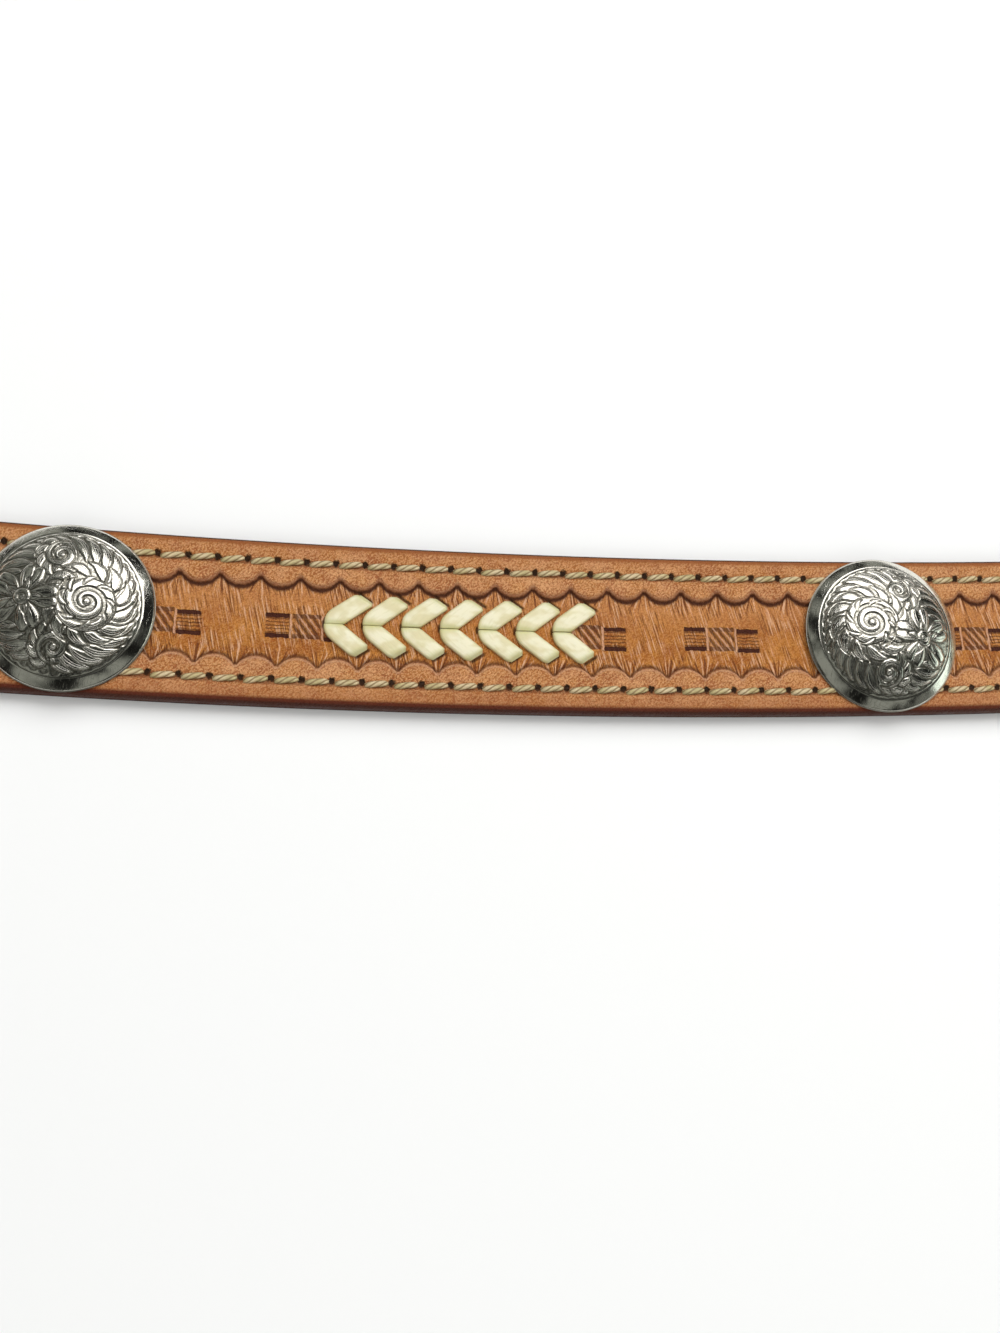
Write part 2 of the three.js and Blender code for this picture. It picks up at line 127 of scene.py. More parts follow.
def point_map(piece, name, pairs):
    """Flat coordinates for each point, in millimetres."""
    layer = piece.data.uv_layers.new(name=name)
    corner = np.zeros(len(piece.data.loops), np.int32)
    piece.data.loops.foreach_get("vertex_index", corner)
    layer.data.foreach_set("uv", np.asarray(pairs, np.float32).reshape(-1, 2)[corner].ravel())


def tube_faces(rings, count):
    """Faces of a tube of rings with count points each."""
    i, j = np.meshgrid(np.arange(rings - 1), np.arange(count), indexing="ij")
    k = (j + 1) % count
    return np.stack([i * count + j, (i + 1) * count + j, (i + 1) * count + k, i * count + k], -1).reshape(-1, 4)


# Shader parts

def put(tree, kind, inputs=None, **settings):
    """Adds a node. Inputs are constants or outputs of other nodes."""
    node = tree.nodes.new(kind)
    for name, value in settings.items():
        setattr(node, name, value)
    for key, value in (inputs or {}).items():
        if isinstance(value, bpy.types.NodeSocket):
            tree.links.new(value, node.inputs[key])
        else:
            node.inputs[key].default_value = value
    return node


def calc(tree, operation, *values):
    return put(tree, "ShaderNodeMath", dict(enumerate(values)), operation=operation).outputs[0]


def step(tree, value, low, high, start=0.0, end=1.0):
    """A soft step of a value from start to end between low and high."""
    inputs = {"Value": value, "From Min": low, "From Max": high, "To Min": start, "To Max": end}
    return put(tree, "ShaderNodeMapRange", inputs, interpolation_type="SMOOTHSTEP").outputs[0]


def colour_mix(tree, factor, first, second, way="MIX"):
    node = put(tree, "ShaderNodeMix", data_type="RGBA", blend_type=way)
    for socket, value in ((node.inputs[0], factor), (node.inputs[6], first), (node.inputs[7], second)):
        if isinstance(value, bpy.types.NodeSocket):
            tree.links.new(value, socket)
        else:
            socket.default_value = value if isinstance(value, float) else (*value, 1.0)[:4]
    return node.outputs[2]


def noise(tree, vector, scale, detail=3.0, rough=0.55, dimensions="2D"):
    inputs = {"Vector": vector, "Scale": scale, "Detail": detail, "Roughness": rough}
    return put(tree, "ShaderNodeTexNoise", inputs, noise_dimensions=dimensions).outputs[0]


def point(tree, x, y, z=0.0):
    return put(tree, "ShaderNodeCombineXYZ", {0: x, 1: y, 2: z}).outputs[0]


def read(tree, name):
    return put(tree, "ShaderNodeAttribute", attribute_name=name).outputs["Fac"]


def repeat(tree, value, first, pitch):
    """The distance, with its sign, from the nearest of a row of places."""
    share = calc(tree, "DIVIDE", calc(tree, "SUBTRACT", value, first), pitch)
    part = calc(tree, "SUBTRACT", share, calc(tree, "ROUND", share))
    return calc(tree, "MULTIPLY", part, pitch)


def group(name, inputs, outputs):
    """An empty node group with named numbers, colours or vectors in and out."""
    tree = bpy.data.node_groups.new(name, "ShaderNodeTree")
    for label, kind, value in inputs:
        socket = tree.interface.new_socket(label, in_out="INPUT", socket_type="NodeSocket" + kind)
        if value is not None:
            socket.default_value = value
    for label, kind in outputs:
        tree.interface.new_socket(label, in_out="OUTPUT", socket_type="NodeSocket" + kind)
    return tree, tree.nodes.new("NodeGroupInput").outputs, tree.nodes.new("NodeGroupOutput").inputs


def use_group(tree, made, **inputs):
    node = put(tree, "ShaderNodeGroup", node_tree=made)
    for key, value in inputs.items():
        socket = node.inputs[key.replace("_", " ")]
        if isinstance(value, bpy.types.NodeSocket):
            tree.links.new(value, socket)
        else:
            socket.default_value = value
    return node.outputs


def material(name, colour):
    """A material with its Principled node and output."""
    made = bpy.data.materials.new(name)
    made.use_nodes = True
    made.diffuse_color = (*colour, 1)
    surface = next(n for n in made.node_tree.nodes if n.type == "BSDF_PRINCIPLED")
    surface.inputs["Base Color"].default_value = (*colour, 1)
    return made, made.node_tree, surface.inputs


def leather_grain_group():
    """Pebbled grain with small creases and mottled tone, from a place in millimetres."""
    tree, given, out = group("leather_grain", [("Place", "Vector", None), ("Pebble", "Float", 0.9)],
                             [("Height", "Float"), ("Tone", "Float"), ("Pebbles", "Float")])
    size = calc(tree, "DIVIDE", 1.0, given["Pebble"])
    bent = noise(tree, given["Place"], 1.5, 2.0)
    place = put(tree, "ShaderNodeVectorMath", {0: given["Place"], 1: bent}, operation="ADD").outputs[0]
    cells = put(tree, "ShaderNodeTexVoronoi", {"Vector": place, "Scale": size, "Randomness": 1.0},
                voronoi_dimensions="2D").outputs["Distance"]
    fine = noise(tree, given["Place"], 2.3, 4.0, 0.65)
    broad = noise(tree, given["Place"], 0.11, 3.0)
    dents = noise(tree, given["Place"], 0.40, 3.0)
    pebbles = calc(tree, "ADD", step(tree, cells, 0.75, 0.10, -0.2, 0.55), calc(tree, "MULTIPLY", fine, 1.3))
    pebbles = calc(tree, "SUBTRACT", pebbles, 0.42)
    height = calc(tree, "ADD", calc(tree, "MULTIPLY", pebbles, 0.55), calc(tree, "MULTIPLY", dents, 1.4))
    tree.links.new(height, out["Height"])
    tree.links.new(pebbles, out["Pebbles"])
    tone = calc(tree, "ADD", calc(tree, "MULTIPLY", broad, 0.55), calc(tree, "MULTIPLY", dents, 0.45))
    tree.links.new(tone, out["Tone"])
    return tree


LEATHER_GRAIN = leather_grain_group()


def hair_lines(tree, s, t):
    """Fine carved lines over the field: a leaning hatch everywhere and a fan below each cusp."""
    lean = calc(tree, "ADD", s, calc(tree, "MULTIPLY", t, 0.24))
    hair = noise(tree, point(tree, calc(tree, "MULTIPLY", lean, 2.6), calc(tree, "MULTIPLY", t, 0.13)), 1.0, 2.0)
    patch = step(tree, noise(tree, point(tree, s, t), 0.22, 1.0), 0.42, 0.62, 0.35, 1.0)
    lines = calc(tree, "MULTIPLY", calc(tree, "SUBTRACT", hair, 0.5), patch)
    for cusp_t, first, sign in ((CUSP_T, 0.5 * SCALLOP_PITCH, 1.0), (-CUSP_T, 0.0, -1.0)):
        away = repeat(tree, s, first, SCALLOP_PITCH)
        deep = calc(tree, "MULTIPLY", calc(tree, "SUBTRACT", cusp_t, t), sign)
        deep = calc(tree, "ADD", deep, 1.2)
        turn = calc(tree, "ARCTAN2", away, deep)
        which = calc(tree, "ROUND", calc(tree, "DIVIDE", calc(tree, "SUBTRACT", s, first), SCALLOP_PITCH))
        fan = noise(tree, point(tree, calc(tree, "MULTIPLY", turn, 6.5), which), 1.0, 2.0)
        reach = calc(tree, "SQRT", calc(tree, "ADD", calc(tree, "MULTIPLY", away, away),
                                        calc(tree, "MULTIPLY", deep, deep)))
        fan = calc(tree, "MULTIPLY", calc(tree, "SUBTRACT", fan, 0.48), step(tree, reach, 8.5, 3.0))
        lines = calc(tree, "ADD", lines, calc(tree, "MULTIPLY", fan, 1.7))
    return lines


def stamps(tree, s, t):
    """The stamped figure that repeats along the field: dark lines pressed in, partly painted shade, and a painted
    highlight on the ridges between.
    """
    p = repeat(tree, s, STAMP_S, STAMP_PITCH)
    right = step(tree, p, 3.0, 3.8)
    q = calc(tree, "ADD", calc(tree, "SUBTRACT", t, STAMP_T), calc(tree, "MULTIPLY", right, 0.4))
    wobble = calc(tree, "MULTIPLY", calc(tree, "SUBTRACT", noise(tree, point(tree, s, t), 0.9, 1.0), 0.5), 0.45)
    q = calc(tree, "ADD", q, wobble)
    tall = calc(tree, "ABSOLUTE", q)
    side = calc(tree, "ABSOLUTE", calc(tree, "ADD", p, wobble))
    inside = calc(tree, "MULTIPLY", step(tree, tall, 3.0, 2.75), step(tree, side, 9.3, 8.9))
    laced = calc(tree, "ADD", repeat(tree, s, PANELS[1], CONCHOS[1] - CONCHOS[0]), 6.0)
    inside = calc(tree, "MULTIPLY", inside, step(tree, calc(tree, "ABSOLUTE", laced), 23.8, 24.2))
    block = calc(tree, "MULTIPLY", inside, step(tree, side, 3.75, 3.95))
    middle = calc(tree, "MULTIPLY", inside, step(tree, side, 3.3, 2.9))
    fine = calc(tree, "COSINE", calc(tree, "MULTIPLY", q, 2 * math.pi / 0.80))
    heavy = calc(tree, "MULTIPLY", step(tree, tall, 1.65, 2.0), step(tree, tall, 2.95, 2.75))
    slant = calc(tree, "ADD", calc(tree, "MULTIPLY", p, 0.80), calc(tree, "MULTIPLY", q, 0.60))
    slant = calc(tree, "COSINE", calc(tree, "MULTIPLY", slant, 2 * math.pi / 1.55))
    core = step(tree, side, 3.2, 1.2)
    post = calc(tree, "MULTIPLY", step(tree, side, 3.15, 3.35), step(tree, side, 3.9, 3.65))
    post = calc(tree, "MULTIPLY", post, inside)
    dark = calc(tree, "MULTIPLY", block, calc(tree, "MAXIMUM", heavy, step(tree, fine, 0.1, 0.9, 0.12, 0.55)))
    strokes = step(tree, slant, 0.3, -0.8, 0.15, 0.6)
    strokes = calc(tree, "MAXIMUM", strokes, calc(tree, "MULTIPLY", heavy, 0.6))
    dark = calc(tree, "MAXIMUM", dark, calc(tree, "MULTIPLY", middle, strokes))
    pale = calc(tree, "MULTIPLY", middle, calc(tree, "MULTIPLY", core, step(tree, slant, 0.4, 0.95)))
    return dark, calc(tree, "MAXIMUM", post, pale)


def lace_slits(tree, s, t):
    """Painted shade for the cuts that each leg goes down into, and for the one where it comes up on the middle line."""
    along = repeat(tree, s, PANELS[1], CONCHOS[1] - CONCHOS[0])
    turn = calc(tree, "DIVIDE", calc(tree, "ADD", along, LACE_START), LACE_PITCH)
    which = calc(tree, "MINIMUM", calc(tree, "MAXIMUM", calc(tree, "ROUND", turn), 0.0),
                 LACE_LEGS - 1.0)
    u = calc(tree, "MULTIPLY", calc(tree, "SUBTRACT", turn, which), LACE_PITCH)
    slit_shade = calc(tree, "MULTIPLY", step(tree, calc(tree, "ABSOLUTE", calc(tree, "SUBTRACT", u, 0.15)), 0.55, 0.15),
                 step(tree, calc(tree, "ABSOLUTE", t), 1.3, 0.4))
    for side, angle in LACE_ROWS.values():
        inner, outer = leg_plan(angle, LACE_WIDTH)
        near, far = inner[-1], outer[-1]
        middle = (near + far) / 2 + np.array([0.10, 0.13])
        last = calc(tree, "SUBTRACT", turn, middle[0] / LACE_PITCH)
        which = calc(tree, "MINIMUM", calc(tree, "MAXIMUM", calc(tree, "ROUND", last), 0.0), LACE_LEGS - 1.0)
        du = calc(tree, "MULTIPLY", calc(tree, "SUBTRACT", last, which), LACE_PITCH)
        dv = calc(tree, "SUBTRACT", calc(tree, "MULTIPLY", t, float(side)), middle[1])
        c, n = math.cos(LACE_END), math.sin(LACE_END)
        long = calc(tree, "ADD", calc(tree, "MULTIPLY", du, c), calc(tree, "MULTIPLY", dv, n))
        wide = calc(tree, "SUBTRACT", calc(tree, "MULTIPLY", dv, c), calc(tree, "MULTIPLY", du, n))
        mark = calc(tree, "MULTIPLY", step(tree, calc(tree, "ABSOLUTE", long), 2.4, 1.4),
                    step(tree, calc(tree, "ABSOLUTE", wide), 0.60, 0.05))
        slit_shade = calc(tree, "MAXIMUM", slit_shade, mark)
    return slit_shade


def edge_distance(tree, s, t):
    """How far a point stands in from the strap's edge, also round the tip."""
    past = calc(tree, "MAXIMUM", calc(tree, "SUBTRACT", s, TAPER_S), 0.0)
    long, wide = TIP_S - TAPER_S, HALF_WIDTH
    squares = [calc(tree, "POWER", calc(tree, "DIVIDE", value, size), 2.0)
               for value, size in ((past, long), (t, wide), (past, long ** 2), (t, wide ** 2))]
    level = calc(tree, "SQRT", calc(tree, "ADD", squares[0], squares[1]))
    steep = calc(tree, "SQRT", calc(tree, "ADD", squares[2], squares[3]))
    steep = calc(tree, "DIVIDE", steep, calc(tree, "MAXIMUM", level, 0.01))
    return calc(tree, "DIVIDE", calc(tree, "SUBTRACT", 1.0, level), calc(tree, "MAXIMUM", steep, 0.001))


def punched_rims(tree, s, t):
    """A dark ring round each hole of the tip."""
    turn = calc(tree, "DIVIDE", calc(tree, "SUBTRACT", s, TIP_HOLES[0]), TIP_HOLES[1] - TIP_HOLES[0])
    which = calc(tree, "MINIMUM", calc(tree, "MAXIMUM", calc(tree, "ROUND", turn), 0.0), len(TIP_HOLES) - 1.0)
    away = calc(tree, "MULTIPLY", calc(tree, "SUBTRACT", turn, which), TIP_HOLES[1] - TIP_HOLES[0])
    reach = calc(tree, "SQRT", calc(tree, "ADD", calc(tree, "MULTIPLY", away, away), calc(tree, "MULTIPLY", t, t)))
    return step(tree, reach, 2.9, 2.3)


def strap_material():
    """Golden tan tooled leather: pebbled border, burnished edges, hair lines and stamps in the field, with painted
    shade and painted highlights on its relief and a darker painted lower edge.
    """
    made, tree, surface = material("strap_leather", (0.42, 0.20, 0.08))
    flat = put(tree, "ShaderNodeUVMap", uv_map="strap").outputs[0]
    parts = put(tree, "ShaderNodeSeparateXYZ", {0: flat}).outputs
    s, t = parts[0], parts[1]
    rim = read(tree, "rim")
    edge = edge_distance(tree, s, t)
    grain = use_group(tree, LEATHER_GRAIN, Place=flat, Pebble=0.48)
    height, tone = grain["Height"], step(tree, grain["Tone"], 0.36, 0.64)
    warm = step(tree, noise(tree, flat, 0.16, 2.0), 0.42, 0.62)

    # rim is above 0 in the sunk field and below 0 on the border
    field = step(tree, rim, -0.05, 0.25)
    border = colour_mix(tree, tone, (0.42, 0.138, 0.042), (0.65, 0.292, 0.118))
    border = colour_mix(tree, calc(tree, "MULTIPLY", warm, 0.5), border, (0.56, 0.220, 0.052))
    base = colour_mix(tree, tone, (0.37, 0.104, 0.013), (0.58, 0.220, 0.036))
    upper = calc(tree, "MULTIPLY", step(tree, t, -3.0, 9.0), 0.75)
    base = colour_mix(tree, upper, base, (0.62, 0.255, 0.085))
    colour = colour_mix(tree, field, border, base)

    # painted highlight on the grain's tops and painted shade in the pores between them
    pebble = step(tree, grain["Pebbles"], 0.25, 0.75)
    share = step(tree, field, 0.0, 1.0, 0.50, 0.30)
    pebble_glint = colour_mix(tree, field, (0.80, 0.46, 0.22), (0.78, 0.40, 0.15))
    colour = colour_mix(tree, calc(tree, "MULTIPLY", pebble, share), colour, pebble_glint)
    pore_shade = calc(tree, "MULTIPLY", step(tree, grain["Pebbles"], 0.30, 0.0), share)
    colour = colour_mix(tree, pore_shade, colour, (0.23, 0.064, 0.02))

    # the carved hair lines are darker, partly the pressed leather and partly painted shade, with a painted glint on the
    # ridges between
    strokes = calc(tree, "MULTIPLY", hair_lines(tree, s, t), field)
    colour = colour_mix(tree, step(tree, strokes, 0.01, 0.22, 0.0, 0.85), colour, (0.16, 0.042, 0.014))
    colour = colour_mix(tree, step(tree, strokes, -0.01, -0.18, 0.0, 0.7), colour, (0.86, 0.52, 0.33))
    height = calc(tree, "SUBTRACT", height, calc(tree, "MULTIPLY", strokes, 1.5))

    dark, pale = stamps(tree, s, t)
    dark, pale = (calc(tree, "MULTIPLY", value, field) for value in (dark, pale))
    # darker in the pressed lines, partly the pressed leather and partly painted shade, and a painted highlight on the
    # ridges between
    colour = colour_mix(tree, step(tree, dark, 0.0, 0.9, 0.0, 0.97), colour, (0.055, 0.012, 0.007))
    colour = colour_mix(tree, calc(tree, "MULTIPLY", pale, 0.6), colour, (0.84, 0.48, 0.32))
    height = calc(tree, "SUBTRACT", height, calc(tree, "MULTIPLY", dark, 1.2))
    height = calc(tree, "ADD", height, calc(tree, "MULTIPLY", pale, 0.9))

    # painted shade on each scallop towards its foot and a painted shadow line along the foot, both stronger on the
    # upper border, and a painted highlight on the lip, stronger on the lower border
    ragged = calc(tree, "ADD", rim, calc(tree, "MULTIPLY", calc(tree, "SUBTRACT", noise(tree, flat, 1.1, 2.0), 0.5), 0.5))
    above = step(tree, t, -6.0, 6.0)
    foot = calc(tree, "MULTIPLY", step(tree, ragged, -1.6, -0.2), step(tree, ragged, 0.8, 0.3))
    foot = calc(tree, "MULTIPLY", foot, step(tree, above, 0.0, 1.0, 0.35, 0.8))
    colour = colour_mix(tree, foot, colour, (0.20, 0.062, 0.024))
    line = calc(tree, "MULTIPLY", step(tree, ragged, -0.35, 0.05), step(tree, ragged, 1.25, 0.25))
    line = calc(tree, "MULTIPLY", line, step(tree, above, 0.0, 1.0, 0.6, 0.95))
    colour = colour_mix(tree, line, colour, (0.075, 0.022, 0.009))
    lip_highlight = calc(tree, "MULTIPLY", step(tree, rim, -1.0, -0.6), step(tree, rim, -0.15, -0.5))
    lip_highlight = calc(tree, "MULTIPLY", lip_highlight, step(tree, above, 1.0, 0.0, 0.1, 0.35))
    colour = colour_mix(tree, lip_highlight, colour, (0.82, 0.47, 0.29))

    # the stitch line, with painted shade in its holes and in the lace slits, and a dark ring round each punched hole
    reach = repeat(tree, s, STITCH_HOLE_S, STITCH_PITCH)
    row = calc(tree, "MINIMUM", calc(tree, "ABSOLUTE", calc(tree, "SUBTRACT", t, UPPER_ROW + 0.30)),
               calc(tree, "ABSOLUTE", calc(tree, "SUBTRACT", t, LOWER_ROW + 0.30)))
    gap = calc(tree, "SQRT", calc(tree, "ADD", calc(tree, "MULTIPLY", reach, reach), calc(tree, "MULTIPLY", row, row)))
    gap = calc(tree, "ADD", gap, calc(tree, "MULTIPLY", calc(tree, "SUBTRACT", noise(tree, flat, 1.3, 2.0), 0.5), 0.8))
    hole = calc(tree, "MULTIPLY", step(tree, gap, 0.95, 0.50), step(tree, s, TAPER_S + 2, TAPER_S))
    hole = calc(tree, "MULTIPLY", hole, step(tree, s, -424.0, -422.0))
    line = calc(tree, "ABSOLUTE", calc(tree, "SUBTRACT", edge, 5.25))
    groove = step(tree, line, 1.15, 0.4)
    colour = colour_mix(tree, calc(tree, "MULTIPLY", groove, 0.6), colour, (0.15, 0.05, 0.02))
    slit_shade = calc(tree, "MULTIPLY", lace_slits(tree, s, t), calc(tree, "MULTIPLY", field, 0.85))
    punched = calc(tree, "MULTIPLY", punched_rims(tree, s, t), 0.9)
    holes = calc(tree, "MAXIMUM", calc(tree, "MAXIMUM", hole, slit_shade), punched)
    colour = colour_mix(tree, holes, colour, (0.018, 0.009, 0.004))
    height = calc(tree, "SUBTRACT", height, calc(tree, "MULTIPLY", holes, 2.0))

    # burnished, dyed edges, with painted shade making the lower edge much darker than the upper, and a broader painted
    # shade along the border, stronger on the lower side
    burnt_and_shaded = step(tree, edge, 2.0, 1.0)
    border_shade = calc(tree, "MULTIPLY", step(tree, edge, 7.0, 1.5), step(tree, t, 2.0, -6.0, 0.1, 0.4))
    colour = colour_mix(tree, border_shade, colour, (0.34, 0.105, 0.030))
    edge_dye_and_shade = colour_mix(tree, step(tree, t, -5.0, 5.0), (0.095, 0.012, 0.004), (0.34, 0.105, 0.026))
    edge_dye_and_shade = colour_mix(tree, step(tree, edge, 0.7, 0.05), edge_dye_and_shade, (0.038, 0.003, 0.001))
    colour = colour_mix(tree, calc(tree, "MULTIPLY", burnt_and_shaded, 0.94), colour, edge_dye_and_shade)
    tree.links.new(colour, surface["Base Color"])
    rough = calc(tree, "ADD", step(tree, grain["Tone"], 0.3, 0.7, 0.30, 0.48), calc(tree, "MULTIPLY", dark, 0.15))
    rough = calc(tree, "ADD", rough, calc(tree, "MULTIPLY", burnt_and_shaded, 0.2))
    tree.links.new(rough, surface["Roughness"])
    surface["Specular IOR Level"].default_value = 0.25
    bump = put(tree, "ShaderNodeBump", {"Height": height, "Strength": 1.0, "Distance": 0.00032}).outputs[0]
    tree.links.new(bump, surface["Normal"])
    return made


# Strap face

def strap_stations():
    """Along the belt: the lower and upper points of the section's middle plane, and its half width."""
    stations = []
    for s in np.linspace(TAB_S, BAR_S, 24, endpoint=False):
        stations.append((s, 1.3, s, 0.0, HALF_WIDTH))
    inner, outer = TURN_MIDDLE - TURN_THICKNESS / 2, TURN_MIDDLE + TURN_THICKNESS / 2
    for turn in np.linspace(-math.pi / 2, -1.5 * math.pi, 22):
        c, d = math.cos(turn), math.sin(turn)
        stations.append((BAR_S + inner * c, BAR_Z + inner * d, BAR_S + outer * c, BAR_Z + outer * d, HALF_WIDTH))
    for share in np.linspace(0, 1, 16)[1:]:
        ease = share * share * (3 - 2 * share)
        s = BAR_S + RAMP_LENGTH * share
        stations.append((s, 5.1 + (1.6 - 5.1) * ease, s, 6.4 + (4.8 - 6.4) * ease, HALF_WIDTH))
    start = BAR_S + RAMP_LENGTH
    along = list(np.linspace(start, -FIELD_END, 12)[1:])
    count = int(round(2 * FIELD_END / (SCALLOP_PITCH / 12)))
    along += list(np.linspace(-FIELD_END, FIELD_END, count + 1)[1:])
    along += list(np.linspace(FIELD_END, TAPER_S, 100)[1:])
    along += list(TAPER_S + (TIP_S - TAPER_S) * np.sin(np.linspace(0, math.pi / 2, 34))[1:])
    for s in along:
        share = max(0.0, (s - TAPER_S) / (TIP_S - TAPER_S))
        stations.append((s, 1.6, s, 4.8, max(0.3, HALF_WIDTH * math.sqrt(max(0.0, 1 - share * share)))))
    return np.array(stations)


def strap_face(leather):
    """One closed skin with the stitch groove, the border and the sunk field worked into it."""
    st = strap_stations()
    n = len(st)
    lower_s, lower_z, upper_s, upper_z, half = st.T
    in_field = smooth(np.abs(upper_s), FIELD_END + 0.01, FIELD_END - 0.6)
    in_field[:24 + 22 + 15] = 0
    width = half / HALF_WIDTH
    upper_edge = (CUSP_T - scallop_drop(upper_s, 0.5)) * width
    lower_edge = (CUSP_T - scallop_drop(upper_s, 0.0)) * width
    plain_edge = 9.4 * width
    upper_edge = upper_edge * in_field + plain_edge * (1 - in_field)
    lower_edge = lower_edge * in_field + plain_edge * (1 - in_field)

    def groove(e):
        return 0.45 * smooth(e, 4.1, 5.0) * smooth(-e, -6.3, -5.4)

    thick = np.hypot(upper_s - lower_s, upper_z - lower_z)
    rounding = np.minimum(1.4, thick * 0.45)

    def side_rows(sign, edge_t):
        rows = [(half - rounding * (1 - math.cos(a)), rounding * (1 - math.sin(a)))
                for a in np.linspace(0.0, math.pi / 2, 6)]
        for e in (2.3, 3.2, 4.0):
            rows.append((half - e * width, np.zeros(n)))
        for e in (4.5, 4.95, 5.3, 5.65, 6.1):
            rows.append((half - e * width, groove(np.full(n, e)) * width))
        pad_start = half - 6.6 * width
        for share, sunk in ((0.0, 0.10), (0.3, -0.02), (0.6, -0.02), (0.85, 0.05)):
            where = pad_start + (edge_t + 0.65 * width - pad_start) * share
            rows.append((where, sunk * in_field))
        for offset, share in ((0.45, 0.20), (0.18, 0.46), (-0.06, 0.85), (-0.35, 1.0)):
            rows.append((edge_t + offset * width, FIELD_DEPTH * share * in_field))
        return [(sign * a, b) for a, b in rows]

    plus = side_rows(1, upper_edge)
    minus = side_rows(-1, lower_edge)
    first, last = plus[-1][0], minus[-1][0]
    middle = [(first + (last - first) * k / 11, FIELD_DEPTH * in_field) for k in range(1, 11)]
    rows = plus + middle + minus[::-1]
    t = np.stack([a for a, b in rows], 1)
    drop = np.stack([b for a, b in rows], 1)
    share = 1 - drop / thick[:, None]
    # the underside and its lightly rounded edges
    under = [(-1.0, 0.30, 0.0), (-1.0, 0.12, 0.0), (-0.985, 0.02, 0.0), (-0.94, 0.0, 0.0), (0.0, 0.0, 0.0),
             (0.94, 0.0, 0.0), (0.985, 0.02, 0.0), (1.0, 0.12, 0.0), (1.0, 0.30, 0.0)]
    t = np.concatenate([t] + [np.full((n, 1), u[0]) * half[:, None] for u in under], 1)
    share = np.concatenate([share] + [np.full((n, 1), u[1]) for u in under], 1)
    s = lower_s[:, None] + (upper_s - lower_s)[:, None] * share
    z = lower_z[:, None] + (upper_z - lower_z)[:, None] * share
    count = t.shape[1]
    places = lay(s, t, z)
    faces = tube_faces(n, count)
    caps = [tuple(range(count - 1, -1, -1)), tuple(range((n - 1) * count, n * count))]
    faces = [tuple(f[::-1]) for f in faces.tolist()] + [c[::-1] for c in caps]
    piece = mesh_object("tooled_leather_face", places, faces, leather)
    rim = np.where(t > 0, upper_edge[:, None], lower_edge[:, None]) - np.abs(t)
    rim = rim * in_field[:, None] - 3.0 * (1 - in_field[:, None])
    rim[:, len(rows):] = -3
    point_value(piece, "rim", rim)
    along = np.where(np.arange(n)[:, None] < 46, BAR_S - 20 - np.arange(n)[:, None] * 0.9, upper_s[:, None])
    down = (1 - share) * thick[:, None]
    down[:, 6:len(rows) - 6] = 0
    down[:, len(rows) + 2:-2] = 0
    point_map(piece, "strap", np.stack([np.broadcast_to(along, t.shape), t + np.sign(t) * down], -1))
    punched(piece, [(hole, 2.2) for hole in TIP_HOLES] + [(place, 3.3) for place in CONCHOS])
    hand_in(piece, "strap_leather", "strap_face")


def hand_in(piece, slot, *nodes):
    """Hides the plain solids that a finished piece stands for and puts the piece in the root body; the slot is not
    used.
    """
    if nodes:
        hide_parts(*nodes)
    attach(piece, "root")


def lathe(profile, count, centre=(0.0, 0.0)):
    """Points and outward faces of a turned solid, from its profile of radius and height from the top down."""
    turn = np.arange(count) * 2 * math.pi / count
    rings = [np.stack([centre[0] + r * np.cos(turn), centre[1] + r * np.sin(turn), np.full(count, z)], -1)
             for r, z in profile]
    faces = tube_faces(len(profile), count).tolist()
    faces.append(tuple(range(count)))
    faces.append(tuple(range(len(profile) * count - 1, (len(profile) - 1) * count - 1, -1)))
    return np.concatenate(rings), faces


def outward(piece):
    """Turns every face outward."""
    work = bmesh.new()
    work.from_mesh(piece.data)
    bmesh.ops.recalc_face_normals(work, faces=work.faces)
    work.to_mesh(piece.data)
    work.free()


def punched(piece, holes):
    """Cuts round holes, each at s with a radius, through a strap piece."""
    places, faces, flat = [], [], []
    for s, radius in holes:
        ring, sides = lathe([(radius, 8.0), (radius, -2.0)], 40)
        faces += [tuple(i + len(places) * 80 for i in f) for f in sides]
        places.append(lay(s + ring[:, 0], ring[:, 1], ring[:, 2]))
        flat.append(np.stack([s + ring[:, 0], ring[:, 1]], -1))
    tool = mesh_object("punch", np.concatenate(places), faces, piece.data.materials[0])
    outward(tool)
    point_map(tool, "strap", np.concatenate(flat))
    point_value(tool, "rim", np.full(len(tool.data.vertices), -3.0))
    cut = piece.modifiers.new("punch", "BOOLEAN")
    cut.operation = "DIFFERENCE"
    cut.solver = "EXACT"
    cut.object = tool
    fresh(piece)
    bpy.data.objects.remove(tool)


def fresh(piece):
    """Makes the modified form the piece's own mesh."""
    bpy.context.view_layer.update()
    shaped = piece.evaluated_get(bpy.context.evaluated_depsgraph_get())
    mesh = bpy.data.meshes.new_from_object(shaped)
    piece.modifiers.clear()
    piece.data = mesh
    mesh.name = piece.name


# Lining

